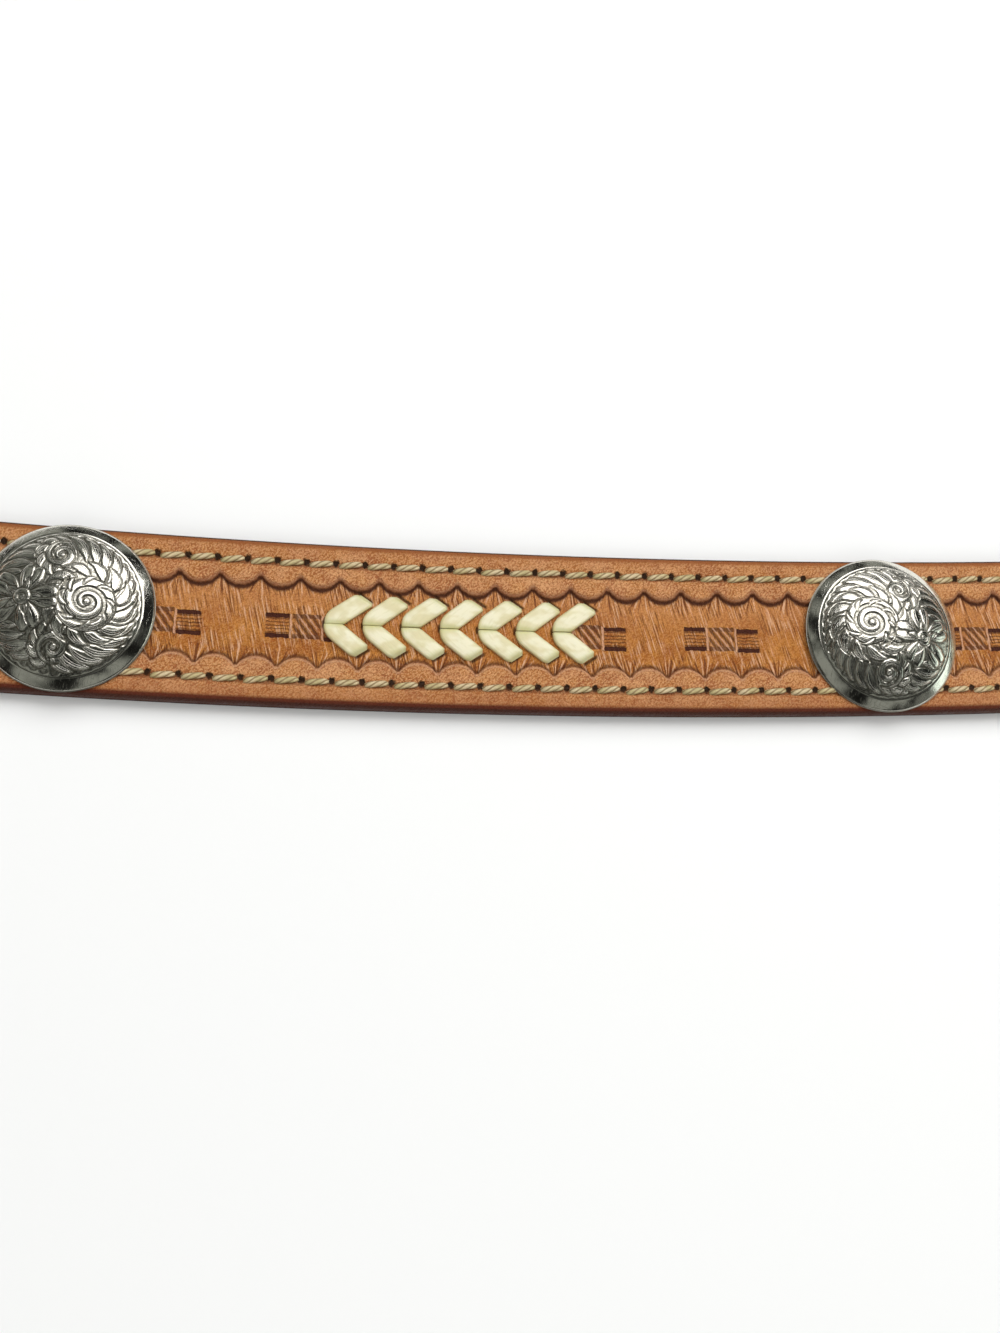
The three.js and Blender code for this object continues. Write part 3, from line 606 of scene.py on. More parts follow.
def lining_material():
    """Dark brown lining leather, matt, nearly black on its edge, which is burnished and partly painted shade."""
    made, tree, surface = material("lining_leather", (0.10, 0.035, 0.018))
    flat = put(tree, "ShaderNodeUVMap", uv_map="strap").outputs[0]
    grain = use_group(tree, LEATHER_GRAIN, Place=flat, Pebble=0.6)
    tone = step(tree, grain["Tone"], 0.35, 0.65)
    colour = colour_mix(tree, tone, (0.075, 0.026, 0.014), (0.14, 0.05, 0.025))
    burnt_and_shaded = step(tree, read(tree, "edge"), 1.2, 0.1)
    colour = colour_mix(tree, calc(tree, "MULTIPLY", burnt_and_shaded, 0.75), colour, (0.022, 0.009, 0.006))
    tree.links.new(colour, surface["Base Color"])
    surface["Roughness"].default_value = 0.7
    surface["Specular IOR Level"].default_value = 0.03
    bump = put(tree, "ShaderNodeBump", {"Height": grain["Height"], "Strength": 0.5, "Distance": 0.00012}).outputs[0]
    tree.links.new(bump, surface["Normal"])
    return made


def strap_width(s):
    """Half the width of the strap, which is rounded off at the tip."""
    share = np.clip((s - TAPER_S) / (TIP_S - TAPER_S), 0, 1)
    return np.maximum(0.3, HALF_WIDTH * np.sqrt(np.clip(1 - share * share, 0, 1)))


def strap_lining(leather):
    """The lining as one closed skin, with a groove under it where the thread lies."""
    s = np.concatenate([np.linspace(LINING_START, TAPER_S, 250),
                        TAPER_S + (TIP_S - 0.3 - TAPER_S) * np.sin(np.linspace(0, math.pi / 2, 30))[1:]])
    half = strap_width(s) - 0.15
    width = half / HALF_WIDTH
    rounding = 0.7
    rows = [(half - rounding * (1 - math.cos(a)), np.full(len(s), rounding * (1 - math.sin(a))))
            for a in np.linspace(0, math.pi / 2, 5)]
    for e, deep in ((2.5, 0), (4.2, 0), (4.6, 0.35), (4.95, 0.85), (5.25, 0.95), (5.55, 0.85), (5.9, 0.35), (6.3, 0)):
        rows.append((half - e * width, np.full(len(s), deep) * width))
    rows += [(half * share, np.zeros(len(s))) for share in (0.45, 0.2)]
    rows = rows + [(-a, b) for a, b in rows[::-1]]
    top = [(-half, np.full(len(s), 1.58)), (-half * 0.5, np.full(len(s), 1.58)), (half * 0.5, np.full(len(s), 1.58)),
           (half, np.full(len(s), 1.58))]
    rows += top
    t = np.stack([a for a, b in rows], 1)
    z = np.stack([b for a, b in rows], 1)
    n, count = t.shape
    faces = tube_faces(n, count).tolist()
    faces += [list(range(count)), list(range(n * count - 1, (n - 1) * count - 1, -1))]
    piece = mesh_object("lining", lay(s[:, None], t, z), faces, leather)
    outward(piece)
    point_value(piece, "edge", half[:, None] - np.abs(t))
    point_map(piece, "strap", np.stack([np.broadcast_to(s[:, None], t.shape), t], -1))
    punched(piece, [(hole, 2.2) for hole in TIP_HOLES] + [(place, 5.3) for place in CONCHOS])
    hand_in(piece, "lining_leather", "strap_lining")


# Thread

STITCH_LENGTH, THREAD_RADIUS, STITCH_SLANT = 5.3, 0.70, math.radians(8.0)


def thread_material():
    """Khaki waxed thread, two strands twisted together, from each stitch's own coordinates, with painted shade in the
    grooves between the strands.
    """
    made, tree, surface = material("waxed_thread", (0.50, 0.38, 0.18))
    flat = put(tree, "ShaderNodeUVMap", uv_map="twist").outputs[0]
    parts = put(tree, "ShaderNodeSeparateXYZ", {0: flat}).outputs
    phase = calc(tree, "ADD", calc(tree, "MULTIPLY", parts[0], 0.42), calc(tree, "MULTIPLY", parts[1], 3.0))
    wave = calc(tree, "COSINE", calc(tree, "MULTIPLY", phase, 2 * math.pi))
    place = put(tree, "ShaderNodeTexCoord").outputs["Object"]
    tint = noise(tree, place, 190.0, 1.0, dimensions="3D")
    light = colour_mix(tree, step(tree, tint, 0.4, 0.6), (0.66, 0.53, 0.32), (0.52, 0.43, 0.21))
    # painted shade in the grooves between the twisted strands
    colour = colour_mix(tree, step(tree, wave, -1.0, -0.2), (0.27, 0.18, 0.08), light)
    tree.links.new(colour, surface["Base Color"])
    surface["Roughness"].default_value = 0.55
    bump = put(tree, "ShaderNodeBump", {"Height": wave, "Strength": 0.8, "Distance": 0.00012}).outputs[0]
    tree.links.new(bump, surface["Normal"])
    return made


def one_stitch(up):
    """A single stitch about its middle: a short round thread that bends down into its holes."""
    stations, count = 8, 8
    along = np.linspace(-1, 1, stations)
    turn = np.arange(count) * 2 * math.pi / count
    centre = 0.62 * (1 - np.abs(along) ** 3.5) - 0.62
    radius = THREAD_RADIUS * (1 - 0.25 * np.abs(along) ** 4)
    x = along[:, None] * STITCH_LENGTH / 2 + 0 * turn
    y = radius[:, None] * np.cos(turn)
    z = up * (centre[:, None] + radius[:, None] * np.sin(turn) * 0.9)
    faces = tube_faces(stations, count).tolist()
    faces += [list(range(count)), list(range(stations * count - 1, (stations - 1) * count - 1, -1))]
    piece = mesh_object("stitch", np.stack([x, y, z], -1) * MM, faces)
    outward(piece)
    piece.data.shade_smooth()
    point_map(piece, "twist", np.stack([x, np.broadcast_to(np.arange(count) / count, x.shape)], -1))
    return piece


def stitch_places(start, shift):
    """Places along both straight rows and the curve round the tip, a stitch or a hole apart, with their headings."""
    first = math.ceil((start - STITCH_HOLE_S) / STITCH_PITCH)
    last = math.floor((TAPER_S - STITCH_HOLE_S) / STITCH_PITCH)
    along = STITCH_HOLE_S + STITCH_PITCH * (np.arange(first, last + 1) - 0.5 + shift)
    rows = [(s, t, 0.0) for t in (UPPER_ROW, LOWER_ROW) for s in along]
    inset = HALF_WIDTH - (UPPER_ROW - LOWER_ROW) / 2
    turn = np.linspace(-math.pi / 2, math.pi / 2, 400)
    long, wide = TIP_S - TAPER_S, HALF_WIDTH
    steep = np.hypot(np.cos(turn) / long, np.sin(turn) / wide)
    s = TAPER_S + long * np.cos(turn) - inset * np.cos(turn) / long / steep
    t = wide * np.sin(turn) - inset * np.sin(turn) / wide / steep
    s, t = np.concatenate([[TAPER_S - 7], s, [TAPER_S - 7]]), np.concatenate([[LOWER_ROW], t, [UPPER_ROW]])
    reach = np.concatenate([[0], np.cumsum(np.hypot(np.diff(s), np.diff(t)))])
    lead = 7 + STITCH_PITCH / 2 - (TAPER_S - STITCH_HOLE_S - STITCH_PITCH * last)
    count = round((reach[-1] - 2 * lead) / STITCH_PITCH)
    gap = (reach[-1] - 2 * lead) / count
    for stop in lead + gap * (np.arange(count + 1) + shift)[:None if shift == 0 else -1]:
        here = (np.interp(stop, reach, s), np.interp(stop, reach, t))
        there = (np.interp(stop + 0.5, reach, s), np.interp(stop + 0.5, reach, t))
        rows.append((*here, math.atan2(there[1] - here[1], there[0] - here[0])))
    return np.array(rows)


def stitch_tree():
    """A node tree that sets a stitch on every place, turned as the place says."""
    tree = bpy.data.node_groups.new("stitch_rows", "GeometryNodeTree")
    tree.interface.new_socket("Places", in_out="INPUT", socket_type="NodeSocketGeometry")
    stitch = tree.interface.new_socket("Stitch", in_out="INPUT", socket_type="NodeSocketObject")
    thread = tree.interface.new_socket("Thread", in_out="INPUT", socket_type="NodeSocketMaterial")
    tree.interface.new_socket("Stitches", in_out="OUTPUT", socket_type="NodeSocketGeometry")
    given = tree.nodes.new("NodeGroupInput").outputs
    out = tree.nodes.new("NodeGroupOutput")
    shape = put(tree, "GeometryNodeObjectInfo", {"Object": given["Stitch"]}).outputs["Geometry"]
    heading = put(tree, "GeometryNodeInputNamedAttribute", {"Name": "heading"}, data_type="FLOAT_VECTOR").outputs[0]
    turned = put(tree, "FunctionNodeEulerToRotation", {0: heading}).outputs[0]
    rows = put(tree, "GeometryNodeInstanceOnPoints",
               {"Points": given["Places"], "Instance": shape, "Rotation": turned}).outputs[0]
    solid = put(tree, "GeometryNodeRealizeInstances", {0: rows}).outputs[0]
    done = put(tree, "GeometryNodeSetMaterial", {"Geometry": solid, "Material": given["Thread"]}).outputs[0]
    tree.links.new(done, out.inputs[0])
    return tree, stitch.identifier, thread.identifier


def awl_hole(up):
    """Painted shade of the hole where the thread goes through: a shallow six-sided plug with its floor above the
    leather.
    """
    ring, faces = lathe([(0.62, 0.0), (0.62, -0.5 * up)], 9)
    piece = mesh_object("awl_hole", ring * MM, faces, sharp=True)
    outward(piece)
    return piece


# dark matt plugs that stand for the shade in the thread holes
def hole_shade_material():
    made, tree, surface = material("thread_holes", (0.016, 0.008, 0.004))
    surface["Roughness"].default_value = 0.9
    surface["Specular IOR Level"].default_value = 0.05
    return made


def repeated(name, rows, height, turn, single, finish, slot):
    """One small shape set on every place as one piece, with a little wander in place and turn."""
    rng = np.random.default_rng(7)
    spots = bpy.data.meshes.new("places")
    piece = bpy.data.objects.new(name, spots)
    bpy.context.scene.collection.objects.link(piece)
    wander = rng.normal(0, 0.08, (len(rows), 2))
    spots.from_pydata(lay(rows[:, 0] + wander[:, 0], rows[:, 1] + wander[:, 1], height).tolist(), [], [])
    heading = np.zeros((len(rows), 3), np.float32)
    heading[:, 2] = rows[:, 0] / LAY_RADIUS + rows[:, 2] + turn + rng.normal(0, 0.025, len(rows))
    spots.attributes.new("heading", "FLOAT_VECTOR", "POINT").data.foreach_set("vector", heading.ravel())
    tree, single_input, finish_input = stitch_tree()
    made = piece.modifiers.new("rows", "NODES")
    made.node_group = tree
    made[single_input] = single
    made[finish_input] = finish
    fresh(piece)
    bpy.data.objects.remove(single)
    hand_in(piece, slot)
    return piece


def stitching():
    """The stitches on the face and under the lining, and dark plugs as painted shade for the holes that the face's own
    finish doesn't show.
    """
    thread, dark = thread_material(), hole_shade_material()
    face, below = stitch_places(-419.0, 0.0), stitch_places(-386.0, 0.0)
    repeated("face_stitches", face, FACE_TOP + 0.02, STITCH_SLANT, one_stitch(1), thread, "waxed_thread")
    repeated("lining_stitches", below, 0.62, -STITCH_SLANT, one_stitch(-1), thread, "waxed_thread")
    holes = stitch_places(-386.0, 0.5)
    round_tip = holes[holes[:, 0] > TAPER_S + 1.5]
    repeated("tip_thread_holes", round_tip, FACE_TOP + 0.03, 0.0, awl_hole(1), dark, "strap_leather")
    repeated("lining_thread_holes", holes, 0.30, 0.0, awl_hole(-1), dark, "lining_leather")


# Laces

LACE_WIDTH, LACE_NOTCH, LACE_PITCH, LACE_LEGS, LACE_START = 4.4, 4.6, 8.7, 7, 38.6
LACE_TOP, LACE_REACH, LACE_END = 5.3, 7.7, math.radians(-34)
LACE_STEP = 20.0
LACE_ROWS = {"upper": (1, 36.5), "lower": (-1, 39.0)}


def leg_plan(angle, width):
    """A leg's inner and outer sides in plan, from the middle line to the slit it goes down into."""
    turn = math.radians(angle)
    shoulder = np.array([LACE_NOTCH - width * math.sin(turn), 0.15 + width * math.cos(turn)])
    slope = math.tan(turn)
    start = shoulder[1] - shoulder[0] * slope
    far = np.array([shoulder[0] + (LACE_REACH - shoulder[1]) / slope, LACE_REACH])
    near = far + width / math.sin(turn - LACE_END) * np.array([math.cos(LACE_END), math.sin(LACE_END)])
    bend = np.array([[0.25, 0.12], [0.0, start * 0.95], [1.7, start + 1.7 * slope]])
    k = np.linspace(0, 1, 7)[:, None]
    corner = (1 - k) ** 2 * bend[0] + 2 * k * (1 - k) * bend[1] + k * k * bend[2]
    outer = np.concatenate([corner, [far]])
    inner = np.array([[LACE_NOTCH, 0.12], near])
    return inner, outer


def even(line, shares):
    reach = np.concatenate([[0], np.cumsum(np.hypot(*np.diff(line, axis=0).T))])
    reach /= reach[-1]
    return np.stack([np.interp(shares, reach, line[:, k]) for k in range(2)], -1)


def lace(name, node, panel, side, angle, rawhide, rng):
    """Seven legs of rawhide, each a soft-edged strip that dips at the seam and dives into its slit."""
    across = np.array([0.0, 0.0, 0.035, 0.12, 0.3, 0.5, 0.7, 0.88, 0.965, 1.0, 1.0])
    low = np.array([1.25, 0.55, 0.22, 0.07, 0.02, 0.0, 0.02, 0.07, 0.22, 0.55, 1.25])
    shares = np.array([0.0, 0.02, 0.06, 0.12, 0.2, 0.3, 0.42, 0.54, 0.66, 0.76, 0.84, 0.90, 0.95, 0.98, 1.0])
    places, faces, flat = [], [], []
    count = len(across)
    for k in range(LACE_LEGS):
        inner, outer = leg_plan(angle + rng.normal(0, 1.0), LACE_WIDTH + rng.normal(0, 0.12))
        first, second = even(outer, shares), even(inner, shares)
        # the far corners are rounded off
        draw_in = 0.13 * smooth(shares, 0.86, 1.0)[:, None] ** 2
        place = draw_in + across[None] * (1 - 2 * draw_in)
        plan = first[:, None] * (1 - place[..., None]) + second[:, None] * place[..., None]
        dip = 0.30 * smooth(-shares, -0.10, 0.0) ** 2 + 1.0 * smooth(shares, 0.86, 1.0) ** 2
        lift = 0.06 * np.sin(shares * math.pi) + rng.normal(0, 0.03)
        z = LACE_TOP - 0.06 + lift[:, None] - dip[:, None] - low[None] + 0 * plan[..., 0]
        z[:, [0, -1]] = np.minimum(4.0, z[:, [1, -2]] - 0.1)
        s = panel - LACE_START + k * LACE_PITCH + plan[..., 0] + rng.normal(0, 0.10)
        t = side * (plan[..., 1] + rng.normal(0, 0.04))
        rings = len(shares)
        base = k * rings * count
        sides = tube_faces(rings, count)
        faces += (sides + base).tolist()
        faces += [[base + i for i in range(count)], [base + rings * count - 1 - i for i in range(count)]]
        places.append(lay(s, t, z).reshape(-1, 3))
        flat.append(np.stack([k * LACE_STEP + shares[:, None] * 9.5 + 0 * plan[..., 0],
                              across[None] * LACE_WIDTH + 0 * plan[..., 0]], -1).reshape(-1, 2))
    piece = mesh_object(name, np.concatenate(places), faces, rawhide)
    outward(piece)
    point_map(piece, "strip", np.concatenate(flat))
    hand_in(piece, "rawhide", node)


def rawhide_material():
    """Pale cream rawhide with faint streaks along each leg, darker and yellower towards its edges and ends."""
    made, tree, surface = material("rawhide", (0.80, 0.76, 0.52))
    flat = put(tree, "ShaderNodeUVMap", uv_map="strip").outputs[0]
    parts = put(tree, "ShaderNodeSeparateXYZ", {0: flat}).outputs
    streak = noise(tree, point(tree, calc(tree, "MULTIPLY", parts[0], 0.35), calc(tree, "MULTIPLY", parts[1], 2.4)),
                   1.0, 3.0)
    cloud = noise(tree, flat, 0.22, 2.0)
    light = colour_mix(tree, step(tree, cloud, 0.38, 0.62), (0.69, 0.62, 0.37), (0.80, 0.75, 0.54))
    colour = colour_mix(tree, step(tree, streak, 0.5, 0.8, 0.0, 0.4), light, (0.60, 0.56, 0.29))
    reach = calc(tree, "MODULO", parts[0], LACE_STEP)
    ends = calc(tree, "ADD", step(tree, reach, 1.6, 0.2), step(tree, reach, LACE_REACH - 0.4, LACE_REACH + 1.6))
    colour = colour_mix(tree, calc(tree, "MULTIPLY", ends, 0.6), colour, (0.56, 0.55, 0.24))
    middle = calc(tree, "ABSOLUTE", calc(tree, "SUBTRACT", parts[1], LACE_WIDTH / 2))
    colour = colour_mix(tree, step(tree, middle, 1.5, 2.2, 0.0, 0.55), colour, (0.60, 0.52, 0.24))
    tree.links.new(colour, surface["Base Color"])
    surface["Roughness"].default_value = 0.42
    surface["Subsurface Weight"].default_value = 0.15
    surface["Subsurface Radius"].default_value = (0.001, 0.0007, 0.0003)
    surface["Subsurface Scale"].default_value = 1.0
    bump = put(tree, "ShaderNodeBump", {"Height": streak, "Strength": 0.35, "Distance": 0.00015}).outputs[0]
    tree.links.new(bump, surface["Normal"])
    return made


def laces():
    rawhide = rawhide_material()
    for row, (side, angle) in LACE_ROWS.items():
        for k, panel in enumerate(PANELS, 1):
            rng = np.random.default_rng(20 * k + side)
            lace(f"{row}_lacing_{k}", f"lace_{row}_{k}", panel, side, angle, rawhide, rng)


# Conchos

CONCHO_RADIUS, CONCHO_TOP, CONCHO_RISE, CONCHO_FOOT = 19.0, 12.1, 6.1, 4.85
CONCHO_SPHERE = (CONCHO_RADIUS ** 2 + CONCHO_RISE ** 2) / (2 * CONCHO_RISE)
CONCHO_TURNS = [math.radians(v) for v in (40, 180, -15, 128, 215)]
BORDER_LINE = 16.3
FLOWER = np.array([8.2, -0.2])


def disc_grid(count):
    """A square grid bent onto a disc of radius 1, with even cells."""
    a, b = np.meshgrid(np.linspace(-1, 1, count), np.linspace(-1, 1, count), indexing="ij")
    wide = np.abs(a) >= np.abs(b)
    radius = np.where(wide, a, b)
    over_a, over_b = np.where(a == 0, 1, a), np.where(b == 0, 1, b)
    turn = np.where(wide, math.pi / 4 * b / over_a, math.pi / 2 - math.pi / 4 * a / over_b)
    return radius * np.cos(turn), radius * np.sin(turn)


def scroll(centre, start, radius, turns, hand=1, end=0.16):
    """A line that winds inwards from a starting angle in degrees."""
    share = np.linspace(0, 1, int(30 + 60 * turns))
    turn = math.radians(start) + hand * turns * 2 * math.pi * share
    reach = radius * (1 - share * (1 - end))
    return np.stack([centre[0] + reach * np.cos(turn), centre[1] + reach * np.sin(turn)], -1)


def bow(start, finish, sag):
    """A curved line between two points, bulging to its left by sag."""
    start, finish = np.array(start, float), np.array(finish, float)
    across = np.array([-(finish - start)[1], (finish - start)[0]])
    across /= max(1e-6, np.hypot(*across))
    k = np.linspace(0, 1, 36)[:, None]
    knee = (start + finish) / 2 + 2 * sag * across
    return (1 - k) ** 2 * start + 2 * k * (1 - k) * knee + k * k * finish


def engrave(sheet, line, widths, high=0.26, shade=1, cuts=5.0, fade=0.5):
    """Works one leaf, stem or petal into the sheet: rounded and outlined, with shading cuts that follow its shape."""
    u, v = sheet["u"], sheet["v"]
    reach = max(widths) + 0.6
    low, high_corner = line.min(0) - reach, line.max(0) + reach
    near = (u > low[0]) & (u < high_corner[0]) & (v > low[1]) & (v < high_corner[1])
    pu, pv = u[near], v[near]
    gaps = np.hypot(pu[:, None] - line[None, :, 0], pv[:, None] - line[None, :, 1])
    which = gaps.argmin(1)
    gap = gaps[np.arange(len(pu)), which]
    along = which / max(1, len(line) - 1)
    heading = np.gradient(line, axis=0) if len(line) > 1 else np.array([[1.0, 0.0]])
    heading = heading / np.maximum(1e-9, np.hypot(*heading.T))[:, None]
    side = heading[which, 0] * (pv - line[which, 1]) - heading[which, 1] * (pu - line[which, 0])
    half = np.maximum(np.interp(along, np.linspace(0, 1, len(widths)), widths), 1e-3)
    inside = gap < half
    form = 0.08 + high * np.sqrt(np.clip(1 - (gap / half) ** 2, 0, 1)) * np.minimum(1, half / 0.8)
    shading = smooth(side * shade / half, -0.45, 0.35) * (1 - fade * along) * smooth(half, 0.25, 0.6)
    outline = np.exp(-((gap - half) / 0.18) ** 2)
    for label, values in (("rise", form), ("shading", shading), ("hatch", side / half * cuts / 2)):
        sheet[label][near] = np.where(inside, values, sheet[label][near])
    sheet["cut"][near] = np.maximum(np.where(inside, 0, sheet["cut"][near]), outline)
    sheet["ground"][near] = np.where(gap < half + 0.12, 0, sheet["ground"][near])


def polar(radius, angle, middle=(0.0, 0.0)):
    angle = math.radians(angle)
    return middle[0] + radius * math.cos(angle), middle[1] + radius * math.sin(angle)


def acanthus(sheet, middle, base, tip, angles, sweep, sag, widths, shade=1):
    """Overlapping curled leaves round a middle, from one radius to another."""
    for a in angles:
        engrave(sheet, bow(polar(base, a, middle), polar(tip, a + sweep, middle), sag), widths, shade=shade)


def small_scroll(sheet, centre, hand):
    acanthus(sheet, centre, 2.6, 5.4, [hand * v for v in (-75, -40, -5, 30, 65, 100)], hand * 48, -0.9 * hand,
             [0.3, 0.8, 0.95, 0.7, 0.1], -hand)
    engrave(sheet, scroll(centre, -hand * 110, 3.5, 1.5, hand, 0.2), [0.15, 0.6, 0.8, 0.7, 0.6, 0.45], shade=hand)
    engrave(sheet, np.array([centre]), [0.75], high=0.3, shade=0)


def flower(sheet, middle):
    """Five notched petals with fans of shading cuts about a round boss."""
    for k in range(5):
        a = math.radians(36 + 72 * k)
        way, across = np.array([math.cos(a), math.sin(a)]), np.array([-math.sin(a), math.cos(a)])
        for lobe in (-1, 1):
            line = bow(middle + way * 1.2, middle + way * 6.3 + across * lobe * 1.15, 0.35 * lobe)
            engrave(sheet, line, [0.5, 0.9, 1.15, 1.35, 1.45, 1.2], high=0.30, shade=lobe, cuts=4.0, fade=0.8)
        engrave(sheet, middle + way * np.linspace(1.2, 4.2, 20)[:, None], [0.5, 0.8, 0.8, 0.5, 0.1], high=0.2, fade=0.2)
    engrave(sheet, np.array([middle]), [1.9], high=0.55, shade=0)
    engrave(sheet, np.array([middle]), [0.8], high=0.2, shade=0)


def concho_pattern(count):
    """The engraving: an off-centre flower, a big scroll opposite, smaller scrolls and leaves, and a plain rim with
    painted shade on its outer side.
    """
    u, v = disc_grid(count)
    u, v = u * CONCHO_RADIUS, v * CONCHO_RADIUS
    radius, turn = np.hypot(u, v), np.arctan2(v, u)
    sheet = {label: np.zeros_like(u) for label in ("rise", "cut", "hatch", "shading")}
    sheet.update(u=u, v=v, ground=np.ones_like(u))
    feather = [0.3, 0.9, 1.25, 1.1, 0.75, 0.12]
    acanthus(sheet, (0, 0), 10.2, 15.5, range(78, 290, 13), 26, -1.2, feather, -1)
    acanthus(sheet, (0, 0), 10.5, 15.5, (74, 61, 48, 35), -26, 1.2, feather, 1)
    acanthus(sheet, (0, 0), 10.5, 15.5, (-74, -61, -48, -35), 26, -1.2, feather, -1)
    small_scroll(sheet, (0.8, 10.3), -1)
    small_scroll(sheet, (1.2, -10.5), 1)
    heart = (-5.2, 0.2)
    acanthus(sheet, heart, 5.6, 9.4, range(0, 360, 30), 38, -1.3, [0.4, 1.0, 1.2, 0.9, 0.5, 0.1], -1)
    engrave(sheet, scroll(heart, -50, 6.6, 2.3, 1, 0.14), [0.2, 0.8, 1.0, 1.0, 0.9, 0.8, 0.7, 0.6, 0.5], shade=-1)
    acanthus(sheet, heart, 4.0, 5.9, range(15, 375, 45), -30, 0.6, [0.15, 0.45, 0.5, 0.3, 0.1])
    engrave(sheet, np.array([heart]), [0.85], high=0.3, shade=0)
    flower(sheet, FLOWER)
    # the border: an incised circle with small half-moons inside it
    lap = ((turn * 15.4 / 2.3) % 1 - 0.5) * 2.3
    moon = np.exp(-((np.hypot(lap, radius - 14.95) - 0.85) / 0.18) ** 2) * smooth(radius, 15.0, 15.3)
    band = smooth(radius, 15.5, 15.8)
    for label in ("rise", "ground", "shading", "cut"):
        sheet[label] *= 1 - band
    ring = np.exp(-((radius - BORDER_LINE) / 0.15) ** 2)
    sheet["cut"] = np.maximum(np.maximum(sheet["cut"], moon * 0.8), ring)
    dots = np.random.default_rng(3).random(u.shape)
    height = CONCHO_TOP - 0.36 - CONCHO_SPHERE + np.sqrt(CONCHO_SPHERE ** 2 - radius ** 2)
    height += 0.52 * sheet["rise"] - 0.12 * sheet["cut"] - sheet["ground"] * (0.03 + 0.05 * dots)
    height -= 0.4 * smooth(radius, 18.7, 19.1)
    cut = np.clip(np.maximum(sheet["cut"], sheet["ground"] * (0.35 + 0.5 * dots)), 0, 1)
    # painted shade on the rim's rounded outer side
    cut = np.maximum(cut, smooth(radius, 18.6, 18.9) * 0.8)
    return u, v, height, {"cut": cut, "hatch": sheet["hatch"], "shading": sheet["shading"]}


def fine_scratches_group():
    """Hair-fine handling scratches and a faint cloudiness for polished metal."""
    tree, given, out = group("fine_scratches", [("Place", "Vector", None), ("Wear", "Float", 0.5)],
                             [("Height", "Float"), ("Rough", "Float")])
    lines = None
    for turn in (0.4, 1.9, 3.2):
        turned = put(tree, "ShaderNodeVectorRotate", {"Vector": given["Place"], "Angle": turn}).outputs[0]
        stretched = put(tree, "ShaderNodeMapping", {"Vector": turned, "Scale": (4.5, 0.16, 1.0)}).outputs[0]
        line = step(tree, noise(tree, stretched, 1.0, 1.0, dimensions="3D"), 0.60, 0.70)
        lines = line if lines is None else calc(tree, "ADD", lines, line)
    tree.links.new(calc(tree, "MULTIPLY", lines, given["Wear"]), out["Height"])
    cloud = noise(tree, given["Place"], 0.25, 2.0, dimensions="3D")
    rough = calc(tree, "ADD", calc(tree, "MULTIPLY", lines, 0.06), step(tree, cloud, 0.35, 0.7, 0.0, 0.10))
    tree.links.new(calc(tree, "MULTIPLY", rough, given["Wear"]), out["Rough"])
    return tree


FINE_SCRATCHES = fine_scratches_group()


def metal_material(name, colour, rough, wear, engraved=False):
    """Nickel silver, polished or worn, darker and duller in any engraved cuts, and on the conchos' sides and undersides
    as painted shade.
    """
    made, tree, surface = material(name, colour)
    surface["Metallic"].default_value = 1.0
    place = put(tree, "ShaderNodeTexCoord").outputs["Object"]
    place = put(tree, "ShaderNodeMapping", {"Vector": place, "Scale": (1000.0, 1000.0, 1000.0)}).outputs[0]
    marks = use_group(tree, FINE_SCRATCHES, Place=place, Wear=wear)
    roughness = calc(tree, "ADD", marks["Rough"], rough)
    if engraved:
        hatch = calc(tree, "COSINE", calc(tree, "MULTIPLY", read(tree, "hatch"), 2 * math.pi))
        hatch = calc(tree, "MULTIPLY", step(tree, hatch, 0.25, 0.9), read(tree, "shading"))
        cut = calc(tree, "MAXIMUM", read(tree, "cut"), calc(tree, "MULTIPLY", hatch, 0.75))
        shade = colour_mix(tree, step(tree, cut, 0.25, 0.95), colour, (0.20, 0.185, 0.145))
        tree.links.new(shade, surface["Base Color"])
        roughness = calc(tree, "ADD", roughness, calc(tree, "MULTIPLY", cut, 0.25))
    tree.links.new(roughness, surface["Roughness"])
    bump = put(tree, "ShaderNodeBump", {"Height": marks["Height"], "Strength": 0.25, "Distance": 0.00003}).outputs[0]
    if engraved:
        depth = calc(tree, "MULTIPLY", hatch, -1.0)
        bump = put(tree, "ShaderNodeBump", {"Height": depth, "Strength": 0.8, "Distance": 0.00008,
                                            "Normal": bump}).outputs[0]
    tree.links.new(bump, surface["Normal"])
    return made


